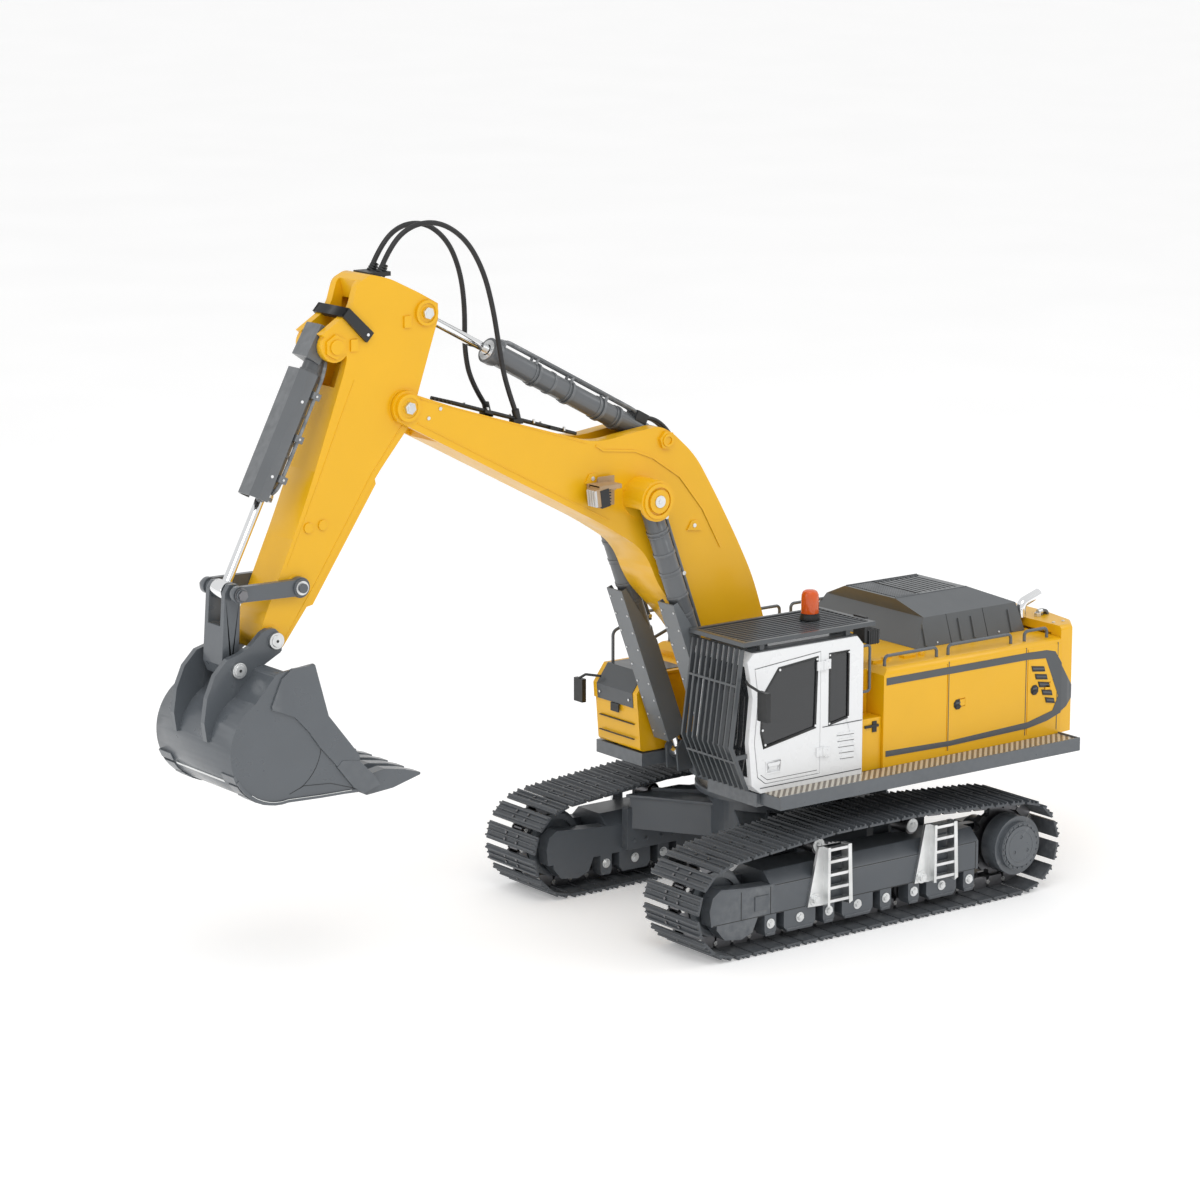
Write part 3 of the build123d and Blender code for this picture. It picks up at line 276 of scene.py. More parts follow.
FINISH = {
    "centre_frame": TRACK, "slew_gear": BRONZE, "track_rollers": GUNMETAL, "travel_motors": DARK,
    "side_steps": SILVER, "track_frame": TRACK, "track_shoes": SHOE, "track_chain": GUNMETAL,
    "sprocket": GUNMETAL, "final_drive": GREY, "idler": GREY, "boom_barrel": CYLINDER,
    "boom_rod": CHROME, "boom_rod_guard": PALE, "slew_deck": GREY, "slew_motor": BLACK,
    "slew_pinion": BRONZE, "counterweight": YELLOW, "body_panel": YELLOW, "engine_hood": HOOD,
    "walkways": GREY, "toolbox": YELLOW, "handrails": GREY, "exhaust_pipe": CHROME,
    "cab_shell": WHITE, "cab_glass": SMOKE, "cab_seat": SEAT, "cab_door": WHITE,
    "door_glass": SMOKE, "cab_front_guard": DARK, "cab_roof_guard": DARK, "cab_lamps": BLACK,
    "mirrors": BLACK, "battery_pack": BLUE, "hydraulic_pump": STEEL, "valve_block": STEEL,
    "receiver_box": BLACK, "boom_pipes": BLACK, "boom_lamp": TAN, "boom": YELLOW,
    "stick_barrel": CYLINDER, "stick_rod": CHROME, "stick": YELLOW, "bucket_barrel": CYLINDER,
    "bucket_rod": CHROME, "rocker_levers": GREY, "bucket_link": GREY, "bucket_teeth": GREY,
    "bucket": GREY, "hoses": RUBBER,
}


def entry_for(table, node):
    """The entry whose key starts the node's name, with any side word left out; the longest key wins."""
    plain = node.replace("left_", "").replace("right_", "")
    keys = [k for k in table if plain.startswith(k)]
    return table[max(keys, key=len)] if keys else None


def soften(obj, width):
    """Rounded edges that catch the light, without touching the mesh itself."""
    weld = obj.modifiers.new("weld", "WELD")
    weld.merge_threshold = 0.000002
    bevel = obj.modifiers.new("bevel", "BEVEL")
    bevel.width = width * MM
    bevel.segments = 2
    bevel.limit_method = "ANGLE"
    bevel.angle_limit = math.radians(30)
    bevel.harden_normals = True


SOFT_EDGE = {
    "boom": 0.9, "stick": 0.8, "bucket": 0.5, "counterweight": 0.9, "body_panel": 0.7, "toolbox": 0.6,
    "track_frame": 0.5, "cab_shell": 0.6, "cab_door": 0.4, "slew_deck": 0.6, "walkways": 0.4,
    "engine_hood": 0.6, "track_shoes": 0.3, "bucket_teeth": 0.6, "final_drive": 0.6,
    "bucket_link": 0.5, "rocker_levers": 0.5, "side_steps": 0.3, "bucket_barrel": 0.4,
    "boom_rod_guard": 0.3, "centre_frame": 0.6, "cab_roof_guard": 0.3, "cab_front_guard": 0.3,
    "boom_barrel": 0.3, "stick_barrel": 0.3, "cab_seat": 1.2, "mirrors": 0.6, "cab_lamps": 0.5,
}


def dress_cad():
    for name, node in NODES.items():
        node.data.materials.clear()
        node.data.materials.append(entry_for(FINISH, name))
        width = entry_for(SOFT_EDGE, name)
        if width:
            soften(node, width)


dress_cad()

# ------------------------------------------------------------ building detail


def circle(at, r, count, turn=0.0):
    angles = [turn + 2 * math.pi * i / count for i in range(count)]
    return [(at[0] + r * math.cos(a), at[1] + r * math.sin(a)) for a in angles]


def around(along, r, sides):
    """Offsets to the corners of a circle that is square to a direction."""
    across = along.orthogonal().normalized()
    up = along.cross(across)
    angles = [2 * math.pi * i / sides for i in range(sides)]
    return [(across * math.cos(a) + up * math.sin(a)) * r for a in angles]


def layer(face, side, low, high):
    """The y limits of a layer between two heights above a face that looks towards side times Y."""
    return sorted((face + side * low, face + side * high))


class Kit:
    """Small solids gathered into one mesh, given in millimetres from the slew axis."""

    def __init__(self):
        self.bm = bmesh.new()

    def prism(self, outline, shift):
        """A flat outline carried along a shift."""
        shift = Vector(shift) * MM
        low = [self.bm.verts.new(row(*p)) for p in outline]
        high = [self.bm.verts.new(v.co + shift) for v in low]
        count = len(outline)
        self.bm.faces.new(low)
        self.bm.faces.new(list(reversed(high)))
        for i in range(count):
            j = (i + 1) % count
            self.bm.faces.new((low[j], low[i], high[i], high[j]))

    def plate(self, outline, y0, y1):
        """An outline in X and Z carried from y0 to y1."""
        self.prism([(x, y0, z) for x, z in outline], (0, y1 - y0, 0))

    def box(self, x0, x1, y0, y1, z0, z1):
        self.plate([(x0, z0), (x1, z0), (x1, z1), (x0, z1)], y0, y1)

    def disc(self, at, r, y0, y1, sides=32, turn=0.0):
        self.plate(circle(at, r, sides, turn), y0, y1)

    def stick(self, p, q, r, sides=20):
        """A round bar from p to q."""
        p, q = Vector(p), Vector(q)
        self.prism([p + offset for offset in around((q - p).normalized(), r, sides)], q - p)

    def skin(self, loops):
        """Quads from each loop of corners to the next."""
        for a, b in zip(loops, loops[1:]):
            for i in range(len(a)):
                j = (i + 1) % len(a)
                self.bm.faces.new((a[i], a[j], b[j], b[i]))

    def ring(self, p, q, r_out, r_in, sides=32):
        """A sleeve from p to q."""
        p, q = Vector(p), Vector(q)
        along = (q - p).normalized()
        loops = []
        for at, r in ((p, r_out), (q, r_out), (q, r_in), (p, r_in)):
            loops.append([self.bm.verts.new(row(*(at + offset))) for offset in around(along, r, sides)])
        self.skin(loops + loops[:1])

    def collar(self, at, y0, y1, r_out, r_in):
        """A sleeve about a pin that lies across the machine."""
        self.ring((at[0], y0, at[1]), (at[0], y1, at[1]), r_out, r_in)

    def lathe(self, x, y, profile, sides=40):
        """A round body about an upright axis, from (radius, z) pairs."""
        loops = []
        for r, z in profile:
            loops.append([self.bm.verts.new(row(*p, z)) for p in circle((x, y), r, sides)])
        self.skin(loops)
        self.bm.faces.new(list(reversed(loops[0])))
        self.bm.faces.new(loops[-1])

    def bolt(self, at, y, side, r, height, washer=True):
        """Hexagon head on a washer, on a face whose outward direction is side times Y."""
        if washer:
            self.disc(at, r * 1.45, *layer(y, side, 0, height * 0.25), sides=20)
        self.disc(at, r, *layer(y, side, 0, height), sides=6, turn=0.3)
        self.disc(at, r * 0.6, *layer(y, side, 0, height * 1.15), sides=12)

    def strip(self, points, width, y0, y1, closed=False):
        """A band of constant width along a line in X and Z, with mitred corners."""
        count = len(points)
        left, right = [], []
        for i, at in enumerate(points):
            before = points[i - 1] if closed or i else at
            after = points[(i + 1) % count] if closed or i < count - 1 else at
            u = Vector((at[0] - before[0], at[1] - before[1]))
            v = Vector((after[0] - at[0], after[1] - at[1]))
            u = u.normalized() if u.length else v.normalized()
            v = v.normalized() if v.length else u
            middle = (u + v).normalized()
            reach = width / 2 / max(0.4, middle.dot(u))
            left.append((at[0] - middle.y * reach, at[1] + middle.x * reach))
            right.append((at[0] + middle.y * reach, at[1] - middle.x * reach))
        for i in range(count if closed else count - 1):
            j = (i + 1) % count
            self.plate([left[i], left[j], right[j], right[i]], y0, y1)

    def tube(self, points, r):
        """A pipe along a line whose corners are rounded, as short bars end to end."""
        smooth = rounded(points)
        for a, b in zip(smooth, smooth[1:]):
            self.stick(a, b, r, 16)

    def make(self, name, material, body, slot, bevel):
        bmesh.ops.recalc_face_normals(self.bm, faces=self.bm.faces)
        mesh = bpy.data.meshes.new(name)
        self.bm.to_mesh(mesh)
        self.bm.free()
        obj = bpy.data.objects.new(name, mesh)
        bpy.context.scene.collection.objects.link(obj)
        mesh.materials.append(material)
        mesh.polygons.foreach_set("use_smooth", [True] * len(mesh.polygons))
        soften(obj, bevel)
        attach(obj, body)
        return obj


def rounded(points):
    """Copy of a line with its corners cut three times over, so that its bends are round."""
    points = [Vector(p) for p in points]
    for _ in range(3):
        cut = [points[0]]
        for a, b in zip(points, points[1:]):
            cut += [a.lerp(b, 0.25), a.lerp(b, 0.75)]
        points = cut + [points[-1]]
    return points


def unit(p, q):
    return Vector((q[0] - p[0], q[1] - p[1])).normalized()


def on_line(p, q, along, across=0.0):
    """The point in X and Z that is so far along the line from p to q, and so far to its left."""
    u = unit(p, q)
    return (p[0] + u.x * along - u.y * across, p[1] + u.y * along + u.x * across)


def beside(p, q, y=0.0):
    """Gives points by their place along and across the line from p to q, and dy from its plane at y."""
    def at(along, across, dy=0.0):
        x, z = on_line(p, q, along, across)
        return (x, y + dy, z)
    return at


BOTH = (("left", 1), ("right", -1))

# -------------------------------------------------------------------- hoses

HOSE_R = 2.2
HOSES = [
    [(431, -7, 606), (420, -8, 626), (399, -10, 641), (372, -12, 641), (348, -14, 624),
     (334, -16, 596), (329, -17, 563), (330, -17, 529), (324, -16, 500), (309, -15, 478.5)],
    [(431, 7, 606), (421, 8, 627), (401, 10, 643), (374, 12, 644), (349, 14, 628),
     (333, 16, 601), (324, 17, 569), (318, 17, 536), (311, 16, 503), (299, 15, 475.5)],
]


def nurbs(name, points):
    curve = bpy.data.curves.new(name, "CURVE")
    curve.dimensions = "3D"
    curve.resolution_u = 16
    spline = curve.splines.new("NURBS")
    spline.points.add(len(points) - 1)
    for control, point in zip(spline.points, points):
        control.co = (*row(*point), 1)
    spline.order_u = 3
    spline.use_endpoint_u = True
    return bpy.data.objects.new(name, curve)


def measured(line):
    return sum((b - a).length for a, b in zip(line, line[1:]))


def make_hoses():
    """Two hoses from the stick's top to the boom's pipes, as fixed tubes in place of the CAD hoses."""
    for i, points in enumerate(HOSES):
        route = nurbs("hose_route", points)
        line = [v.co.copy() for v in bpy.data.meshes.new_from_object(route).vertices]
        route.data.bevel_depth = HOSE_R * MM
        route.data.bevel_resolution = 6
        route.data.use_fill_caps = True
        mesh = bpy.data.meshes.new_from_object(route)
        tube = bpy.data.objects.new("hose_" + str(i + 1), mesh)
        bpy.context.scene.collection.objects.link(tube)
        mesh.materials.clear()
        mesh.materials.append(RUBBER)
        mesh.polygons.foreach_set("use_smooth", [True] * len(mesh.polygons))
        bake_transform(tube)
        if i == 0:
            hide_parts("hoses")
        measured(line)
        [tuple(p) for p in line]


make_hoses()

# ------------------------------------------------------------- undercarriage

TRACK_Y = 120.0
FRAME_FACE = 147.0
FRAME_INNER_FACE = 93.0
DRIVE_FACE = 152.0
ROLLER_Z = 22.9
ROLLER_X = [122.0 - i * 33.3 for i in range(8)]
CARRIER_X = 55.0
CARRIER_Z = 79.4
SPROCKET = joint_xz("left_track_drive")
LINKS = 48
PIN_R = 36.0
PITCH = 2 * math.pi * PIN_R / 12
RISE = math.radians(4.5)
# What the wheels and the flat top leave of the closed chain, and from it half the distance between the wheels.
REMAINDER = LINKS * PITCH - 2 * PIN_R * (math.pi - RISE) - 2 * CARRIER_X
HALF_BASE = REMAINDER - 2 * (PIN_R * math.sin(RISE) - CARRIER_X) / math.cos(RISE)
HALF_BASE /= 2 + 2 / math.cos(RISE)


def track_details():
    bolts, seams, hubs, pale = Kit(), Kit(), Kit(), Kit()
    for _, s in BOTH:
        face = s * FRAME_FACE
        for x in ROLLER_X:
            bolts.bolt((x, ROLLER_Z), face, s, 3.1, 2.6)
            bolts.bolt((x, ROLLER_Z), s * FRAME_INNER_FACE, -s, 3.1, 2.2)
        for x in (-CARRIER_X, CARRIER_X):
            hubs.collar((x, CARRIER_Z), s * 131.2, s * 132.2, 6.4, 3.2)
            bolts.bolt((x, CARRIER_Z), s * 131.5, s, 2.4, 1.4)
            hubs.collar((x, CARRIER_Z), s * 109, s * 110, 6.4, 3.2)
        for x in (155, 122, -119):
            seams.box(x - 0.45, x + 0.45, *layer(face, s, -0.4, 0.12), 31.5, 57)
        seams.box(-119, 117, *layer(face, s, -0.4, 0.12), 56.6, 57.3)
        seams.box(-119, 186, *layer(face, s, -0.4, 0.12), 31.2, 31.9)
        bolts.bolt((74, 37), face + s * 3, s, 4.0, 3.4)
        bolts.bolt((-51, 36), face + s * 3, s, 4.0, 3.4)
        edge = [(121, 57), (150, 59.4), (178, 62.2), (186.4, 56.6), (189.4, 46)]
        pale.strip(edge, 1.0, *layer(face, s, -0.4, 0.5))
        shoulder = [(-118, 56.2), (117, 56.2)]
        pale.strip(shoulder, 0.8, *layer(face, s, -0.4, 0.3))
        for i, x in enumerate(ROLLER_X):
            half = 15 if i in (1, 3, 6) else 4.6
            pale.box(x - half, x + half, *layer(face, s, -0.2, 0.7), 13.6, 15.0)
        for x in (-140, -154):
            bolts.bolt((x, 39), s * 101, -s, 1.8, 1.6)
    bolts.make("track_bolts", SILVER, "undercarriage", "steel", 0.15)
    seams.make("track_seams", BLACK, "undercarriage", "dark_grey", 0.05)
    hubs.make("carrier_caps", SILVER, "undercarriage", "steel", 0.15)
    pale.make("idler_blocks", GREY, "undercarriage", "mid_grey", 0.4)


def drive_details():
    for name, s in BOTH:
        cover, screws = Kit(), Kit()
        face = s * DRIVE_FACE
        cover.collar(SPROCKET, face - s * 1.0, face + s * 0.5, 21.6, 19.6)
        cover.collar(SPROCKET, face, face + s * 1.5, 15.2, 13.8)
        for at in circle(SPROCKET, 20.4, 22):
            screws.bolt(at, face + s * 0.4, s, 1.0, 1.0, washer=False)
        for at in circle(SPROCKET, 9, 3, math.pi / 2):
            screws.disc(at, 1.3, *layer(face, s, 0.3, 0.9), sides=12)
        cover.make(name + "_drive_rings", GREY, name + "_drive", "mid_grey", 0.3)
        screws.make(name + "_drive_screws", TRACK, name + "_drive", "dark_grey", 0.1)


def chain_point(s):
    """Where the chain's pin line is after a length s, from under the idler towards the rear.

    The top run lies flat between the carrier rollers and falls by RISE to the wheel at each end."""
    r, z = PIN_R, SPROCKET[1]
    wrap = r * (math.pi - RISE)
    slope = (HALF_BASE - CARRIER_X + r * math.sin(RISE)) / math.cos(RISE)
    top_z = z + r * math.cos(RISE) + slope * math.sin(RISE)
    runs = [2 * HALF_BASE, wrap, slope, 2 * CARRIER_X, slope]
    s %= LINKS * PITCH
    leg = 0
    while leg < len(runs) and s >= runs[leg]:
        s -= runs[leg]
        leg += 1
    if leg == 0:
        return (HALF_BASE - s, z - r)
    if leg == 1:
        a = -math.pi / 2 - s / r
        return (-HALF_BASE + r * math.cos(a), z + r * math.sin(a))
    if leg == 2:
        return (-CARRIER_X - (slope - s) * math.cos(RISE), top_z - (slope - s) * math.sin(RISE))
    if leg == 3:
        return (-CARRIER_X + s, top_z)
    if leg == 4:
        return (CARRIER_X + s * math.cos(RISE), top_z - s * math.sin(RISE))
    a = math.pi / 2 - RISE - s / r
    return (HALF_BASE + r * math.cos(a), z + r * math.sin(a))


def shoe_details():
    """Two bolt heads by each edge of every shoe, and the pin heads on the chain's links."""
    for name, s in BOTH:
        heads, pins = Kit(), Kit()
        yc = s * TRACK_Y
        for i in range(LINKS):
            p, q = chain_point(i * PITCH), chain_point((i + 1) * PITCH)
            u = unit(p, q)
            out = Vector((-u.y, 0, u.x))
            middle = on_line(p, q, PITCH / 2)
            for dy in (-9, 9):
                for along in (-3.2, 3.2):
                    at = Vector((middle[0] + u.x * along, yc + dy, middle[1] + u.y * along))
                    heads.stick(at + out * 6.8, at + out * 8.3, 1.5, 6)
            for dy in (-30, 30):
                at = Vector((middle[0], yc + dy, middle[1]))
                heads.stick(at + out * 6.8, at + out * 7.9, 1.2, 12)
            for edge in (-1, 1):
                pins.disc(p, 2.1, *layer(yc, edge, 9, 10), sides=12)
        heads.make(name + "_shoe_bolts", GUNMETAL, "undercarriage", "dark_grey", 0.12)
        pins.make(name + "_chain_pins", STEEL, "undercarriage", "steel", 0.12)


def frame_details():
    ribs, bolts = Kit(), Kit()
    for sx in (-1, 1):
        for sy in (-1, 1):
            a, b = (sx * 38, sy * 40), (sx * 76, sy * 84)
            across = Vector((b[0] - a[0], b[1] - a[1])).normalized()
            side = Vector((-across.y, across.x)) * 1.4
            base = [(a, -1), (b, -1), (b, 1), (a, 1)]
            ribs.prism([(p[0] + k * side.x, p[1] + k * side.y, 86.8) for p, k in base], (0, 0, 3.2))
            for x in (50, 64, 82, 96):
                bolts.bolt((sx * x, 42), sy * 84, -sy, 1.7, 1.4)
    for x, y in circle((0, 0), 66, 24):
        bolts.stick((x, y, 98), (x, y, 100.4), 1.7, 6)
    ribs.make("frame_ribs", TRACK, "undercarriage", "dark_grey", 0.4)
    bolts.make("frame_bolts", TRACK, "undercarriage", "dark_grey", 0.12)


track_details()
drive_details()
shoe_details()
frame_details()

# ---------------------------------------------------------------------- house

BOOM_FOOT = joint_xz("boom_lift")
BOOM_BASE = (80.0, 135.0)
CHEEK_FACE = 46.7

SIDE_FACE = 121.0
BODY_TOP = 225.0
REAR_TOP = 236.0
REAR_FACE = -285.2
HOOD_FOOT = (78.0, 226.2)
HOOD_BEND = (69.0, 252.0)
BAND_REAR = ((-246, 154.6, 201.1), (-255, 158.6, 188.2), (-262, 166.0, 178.2), (-266.6, 170.6, 171.6))


def rear_face(x):
    """How far from the middle the counterweight's side is at x."""
    if x > -262:
        return 119 + (x + 246) / 8
    return 117 + (x + 262) * 17 / 14


def side_stripe():
    """Dark band that runs forward along the body's side from a pointed loop at the rear."""
    band = Kit()
    for _, s in BOTH:
        y0, y1 = layer(s * SIDE_FACE, s, -0.3, 0.35)
        upper = [(-31, 217.2), (-31, 210.5), (-202, 210.5), (-225, 209)]
        band.plate(upper + [(-237, 214), (-226, 216.6), (-202, 217.2)], y0, y1)
        band.plate([(-225, 209), (-242, 171), (-245.5, 171), (-245.5, 201.8), (-237, 214)], y0, y1)
        band.plate([(-242, 171), (-235, 158), (-245.5, 154.5), (-245.5, 171)], y0, y1)
        lower = [(-235, 158), (-204, 151.2), (-108, 148), (-31, 150), (-31, 144.6), (-108, 143.2)]
        band.plate(lower + [(-204, 145.3), (-228, 149), (-245.5, 154.5)], y0, y1)
        for (xa, la, ha), (xb, lb, hb) in zip(BAND_REAR, BAND_REAR[1:]):
            ya, yb = rear_face(xa) - 0.3, rear_face(xb) - 0.3
            corners = [(xa, s * ya, la), (xb, s * yb, lb), (xb, s * yb, hb), (xa, s * ya, ha)]
            band.prism(corners, (0, s * 0.8, 0))
    band.make("side_band", DARK, "house", "dark_grey", 0.05)


def side_fittings():
    black, seams, silver, yellow = Kit(), Kit(), Kit(), Kit()
    for _, s in BOTH:
        face = s * SIDE_FACE
        for x in (-105.7, -200.8, -240.4):
            seams.box(x - 0.35, x + 0.35, *layer(face, s, -0.3, 0.3), 139, 222)
        yellow.box(-243, -206, *layer(face, s, -0.3, 0.2), 188, 209)
        yellow.box(-241, -209, *layer(face, s, -3.5, 0.2), 209, 220)
        for i in range(5):
            x, z, wide = -207 - i * 4.5, 204 - i * 8, 16 - i * 1.2
            louvre = [(x, z), (x - wide, z - 2.4), (x - wide - 1.5, z - 7.4), (x - 1.5, z - 5.4)]
            black.plate(louvre, *layer(face, s, -0.2, 0.8))
            slit = [(x - 1.5, z - 1.6), (x - wide + 0.5, z - 3.6), (x - wide, z - 5.4), (x - 2, z - 3.6)]
            seams.plate(slit, *layer(face, s, 0.6, 1.0))
        for x, z in ((-211.7, 180.7), (-116.8, 180.8)):
            black.disc((x, z), 5.0, *layer(face, s, -0.2, 0.7), sides=8, turn=0.39)
            seams.box(x - 2.6, x + 2.6, *layer(face, s, 0.7, 1.1), z + 0.8, z + 2.4)
            black.box(x - 2.8, x + 2.8, *layer(face, s, 0.7, 1.4), z - 3, z - 0.6)
        for x0, x1, z in ((-44, -33, 229), (-84, -70, 228.6)):
            yellow.box(x0, x1, *layer(0, s, 92, 100), BODY_TOP, z)
        for x, y, r in ((-50, 96, 3.6), (-62, 88, 2.6), (-92, 98, 3.4)):
            cap = [(r, BODY_TOP), (r, 228.6), (r - 0.8, 230), (r - 2.2, 230.2)]
            yellow.lathe(x, s * y, cap, 24)
    black.box(-24, -8, 118, 119.6, 173.6, 176.0)
    black.box(-22, -17, 118, 119.0, 169, 179)
    black.make("side_latches", BLACK, "house", "black_plastic", 0.2)
    seams.make("side_seams", DARK, "house", "dark_grey", 0.05)
    yellow.make("body_top_caps", YELLOW, "house", "yellow", 0.4)
    silver.stick((-258, 74, REAR_TOP), (-258, 74, 240), 3.2, 24)
    silver.stick((-258, 74, 240), (-263, 74, 241), 2.6, 24)
    silver.make("rear_camera", SILVER, "house", "steel", 0.4)


def rear_fittings():
    """Counterweight seams, lifting eyes, rear lamps and tow eye, in the plain style of its class."""
    seams, silver, lens, dark = Kit(), Kit(), Kit(), Kit()
    for y in (-78, 78):
        dark.box(-283.2, -277, y - 9, y + 9, 205, 214)
        for y0 in (y - 7.6, y + 0.6):
            lens.box(-284.2, -283, y0, y0 + 7, 206.4, 212.6)
    for y in (-70, 70):
        dark.collar((-268, REAR_TOP), y - 3, y + 3, 5.6, 3.0)
    for z in (158, 216):
        seams.box(-286.3, REAR_FACE, -24, 24, z, z + 0.8)
    for y in (-24, 24):
        seams.box(-286.3, -285.0, y - 0.4, y + 0.4, 158, 216.8)
    dark.collar((-281, 148), -4, 4, 5.0, 2.4)
    for y in (-104, -40, 40, 104):
        for x in (-250, -262):
            silver.stick((x, y, 235.8), (x, y, 237.2), 1.8, 6)
    seams.make("rear_seams", DARK, "house", "dark_grey", 0.05)
    silver.make("rear_bolts", SILVER, "house", "steel", 0.15)
    lens.make("rear_lenses", ORANGE, "house", "orange_plastic", 0.4)
    dark.make("rear_fixtures", GREY, "house", "dark_grey", 0.4)


def hood_details():
    """Perforated top panels, pressed ribs, a panel seam and small fixings."""
    ribs, seams, mesh_panel, silver = Kit(), Kit(), Kit(), Kit()
    rise, lean = HOOD_BEND[1] - HOOD_FOOT[1], HOOD_FOOT[0] - HOOD_BEND[0]
    normal = Vector((0, rise, lean)).normalized()

    def slope(x, t, side, lift=0.0):
        """A point on the lower side at height share t, standing off the sheet by lift."""
        y = HOOD_FOOT[0] - lean * t
        z = HOOD_FOOT[1] + rise * t
        return (x, side * (y + normal.y * lift), z + normal.z * lift)

    def upright(kit, x, half, t0, t1, side, out):
        """A tapering upright on the lower side, from height share t0 to t1."""
        corners = [slope(x - half, t0, side, -0.3), slope(x + half, t0, side, -0.3)]
        corners += [slope(x + half * 0.5, t1, side, -0.3), slope(x - half * 0.5, t1, side, -0.3)]
        kit.prism(corners, (0, side * out, out * 0.3))

    for _, s in BOTH:
        for x in (-116, -160, -176, -222):
            upright(ribs, x, 1.5, 0.04, 0.8, s, 1.9)
        for x in (-147, -192):
            upright(seams, x, 0.35, 0.0, 1.0, s, 0.55)
        for x in (-130, -206):
            silver.stick(slope(x, 0.1, s, -0.2), slope(x, 0.1, s, 0.8), 0.9, 12)
    mesh_panel.box(-201, -150, -32, -30, 264.7, 265.5)
    mesh_panel.box(-143, -118, -32, 32, 264.8, 265.5)
    seams.box(-147.2, -146.5, -35, 35, 264.6, 265.45)
    for y in (-35, 35):
        ribs.box(-203, -115, y - 0.6, y + 0.6, 264.0, 265.8)
    ribs.make("hood_ribs", HOOD, "house", "dark_grey", 0.3)
    seams.make("hood_seams", BLACK, "house", "black_plastic", 0.05)
    mesh_panel.make("hood_grilles", HOOD_TOP, "house", "dark_grey", 0.1)
    silver.make("hood_screws", SILVER, "house", "steel", 0.1)


def toolbox_details():
    """Dark cap over the toolbox's upper front with its seam, hinges and latch."""
    cap, black, silver = Kit(), Kit(), Kit()
    outside = [(117.0, 176), (118.2, 190), (105.4, 207.7), (60, 207.7)]
    inside = [(60, 206.6), (104.8, 206.6), (117.2, 189.6), (116.2, 176)]
    cap.plate(outside + inside, -113, -59)
    black.box(116.6, 118.0, -92, -80, 168, 176)
    for y in (-108, -64):
        silver.stick((117.4, y, 183), (118.8, y, 183), 1.2, 12)
    for z in (146, 160):
        black.box(114.0, 116.2, -112, -60, z, z + 0.8)
    cap.make("toolbox_cap", DARK, "house", "dark_grey", 0.3)
    black.make("toolbox_latch", BLACK, "house", "black_plastic", 0.2)
    silver.make("toolbox_screws", SILVER, "house", "steel", 0.1)


def deck_details():
    """Tread on the walkways, and the bolts of the boom's foot and of the cylinders' cheeks."""
    bolts, tread = Kit(), Kit()
    for _, s in BOTH:
        front = 112 if s > 0 else 80
        tread.box(-241.6, front, *layer(0, s, 121.8, 148.2), 134.4, 135.2)
        bolts.bolt(BOOM_FOOT, s * 30, s, 4.6, 2.4)
        for x in (58, 80):
            bolts.bolt((x, 142), s * CHEEK_FACE, s, 1.8, 1.4)
        bolts.bolt(BOOM_BASE, s * CHEEK_FACE, s, 4.4, 2.2)
    tread.make("walkway_treads", TREAD, "house", "tan", 0.1)
    bolts.make("deck_bolts", SILVER, "house", "steel", 0.12)


side_stripe()
side_fittings()
rear_fittings()
hood_details()
toolbox_details()
deck_details()

# ------------------------------------------------------------------------ cab

CAB_FACE = 126.0
DOOR_PANE = [(56, 186), (54, 249), (98, 245), (116, 222), (117.5, 190), (114, 176)]
QUARTER_PANE = [(18, 190), (40, 186), (40, 250), (18, 250)]


def cab_details():
    black, white, silver, dark = Kit(), Kit(), Kit(), Kit()
    black.strip(QUARTER_PANE, 2.0, CAB_FACE - 1.4, CAB_FACE + 0.3, closed=True)
    for x, z in ((18, 190), (40, 187), (40, 249), (18, 249)):
        white.disc((x, z), 0.9, CAB_FACE + 0.2, CAB_FACE + 0.8, sides=12)
    black.strip([(14, 176), (116, 176), (116, 250), (14, 250)], 3.0, 50.6, 52.0, closed=True)
    dark.box(2, 47.5, CAB_FACE - 0.3, CAB_FACE + 0.25, 184.4, 185.2)
    dark.box(2, 118, CAB_FACE - 0.3, CAB_FACE + 0.25, 139.6, 140.4)
    for i in range(5):
        z = 176 - i * 5.4
        louvre = [(10, z), (29 - i, z + 0.6), (31 - i, z - 1.2), (11, z - 1.8)]
        white.plate(louvre, CAB_FACE - 0.3, CAB_FACE + 0.9)
        # A dark strip under each louvre: a painted shadow.
        louvre_shadow = [(11, z - 2.0), (31 - i, z - 1.4), (31 - i, z - 1.9), (11, z - 2.6)]
        dark.plate(louvre_shadow, CAB_FACE - 0.3, CAB_FACE + 0.15)
    for z in (161.7, 241.5):
        white.box(39.4, 45.4, CAB_FACE, CAB_FACE + 1.4, z - 4.4, z + 4.4)
        for dz in (-2.6, 2.6):
            white.disc((42, z + dz), 0.8, CAB_FACE + 1.4, CAB_FACE + 1.9, sides=10)
    for y in (58, 88, 118):
        silver.stick((0.4, y, 180), (-0.6, y, 180), 1.0, 12)
    dark.box(8, 126, 52.5, 124.5, 262.2, 263.0)
    for y in (66, 111):
        dark.box(12, 122, y, y + 1.6, 262.8, 264.4)
    for y in (64, 112):
        white.box(30, 100, y, y + 1.2, 262.8, 265.2)
    black.make("cab_trim", BLACK, "house", "black_plastic", 0.15)
    white.make("cab_screws", WHITE, "house", "white", 0.15)
    silver.make("cab_rivets", SILVER, "house", "steel", 0.1)
    # Seams, and the painted shadows under the louvres.
    dark.make("cab_seams", DARK, "house", "dark_grey", 0.05)


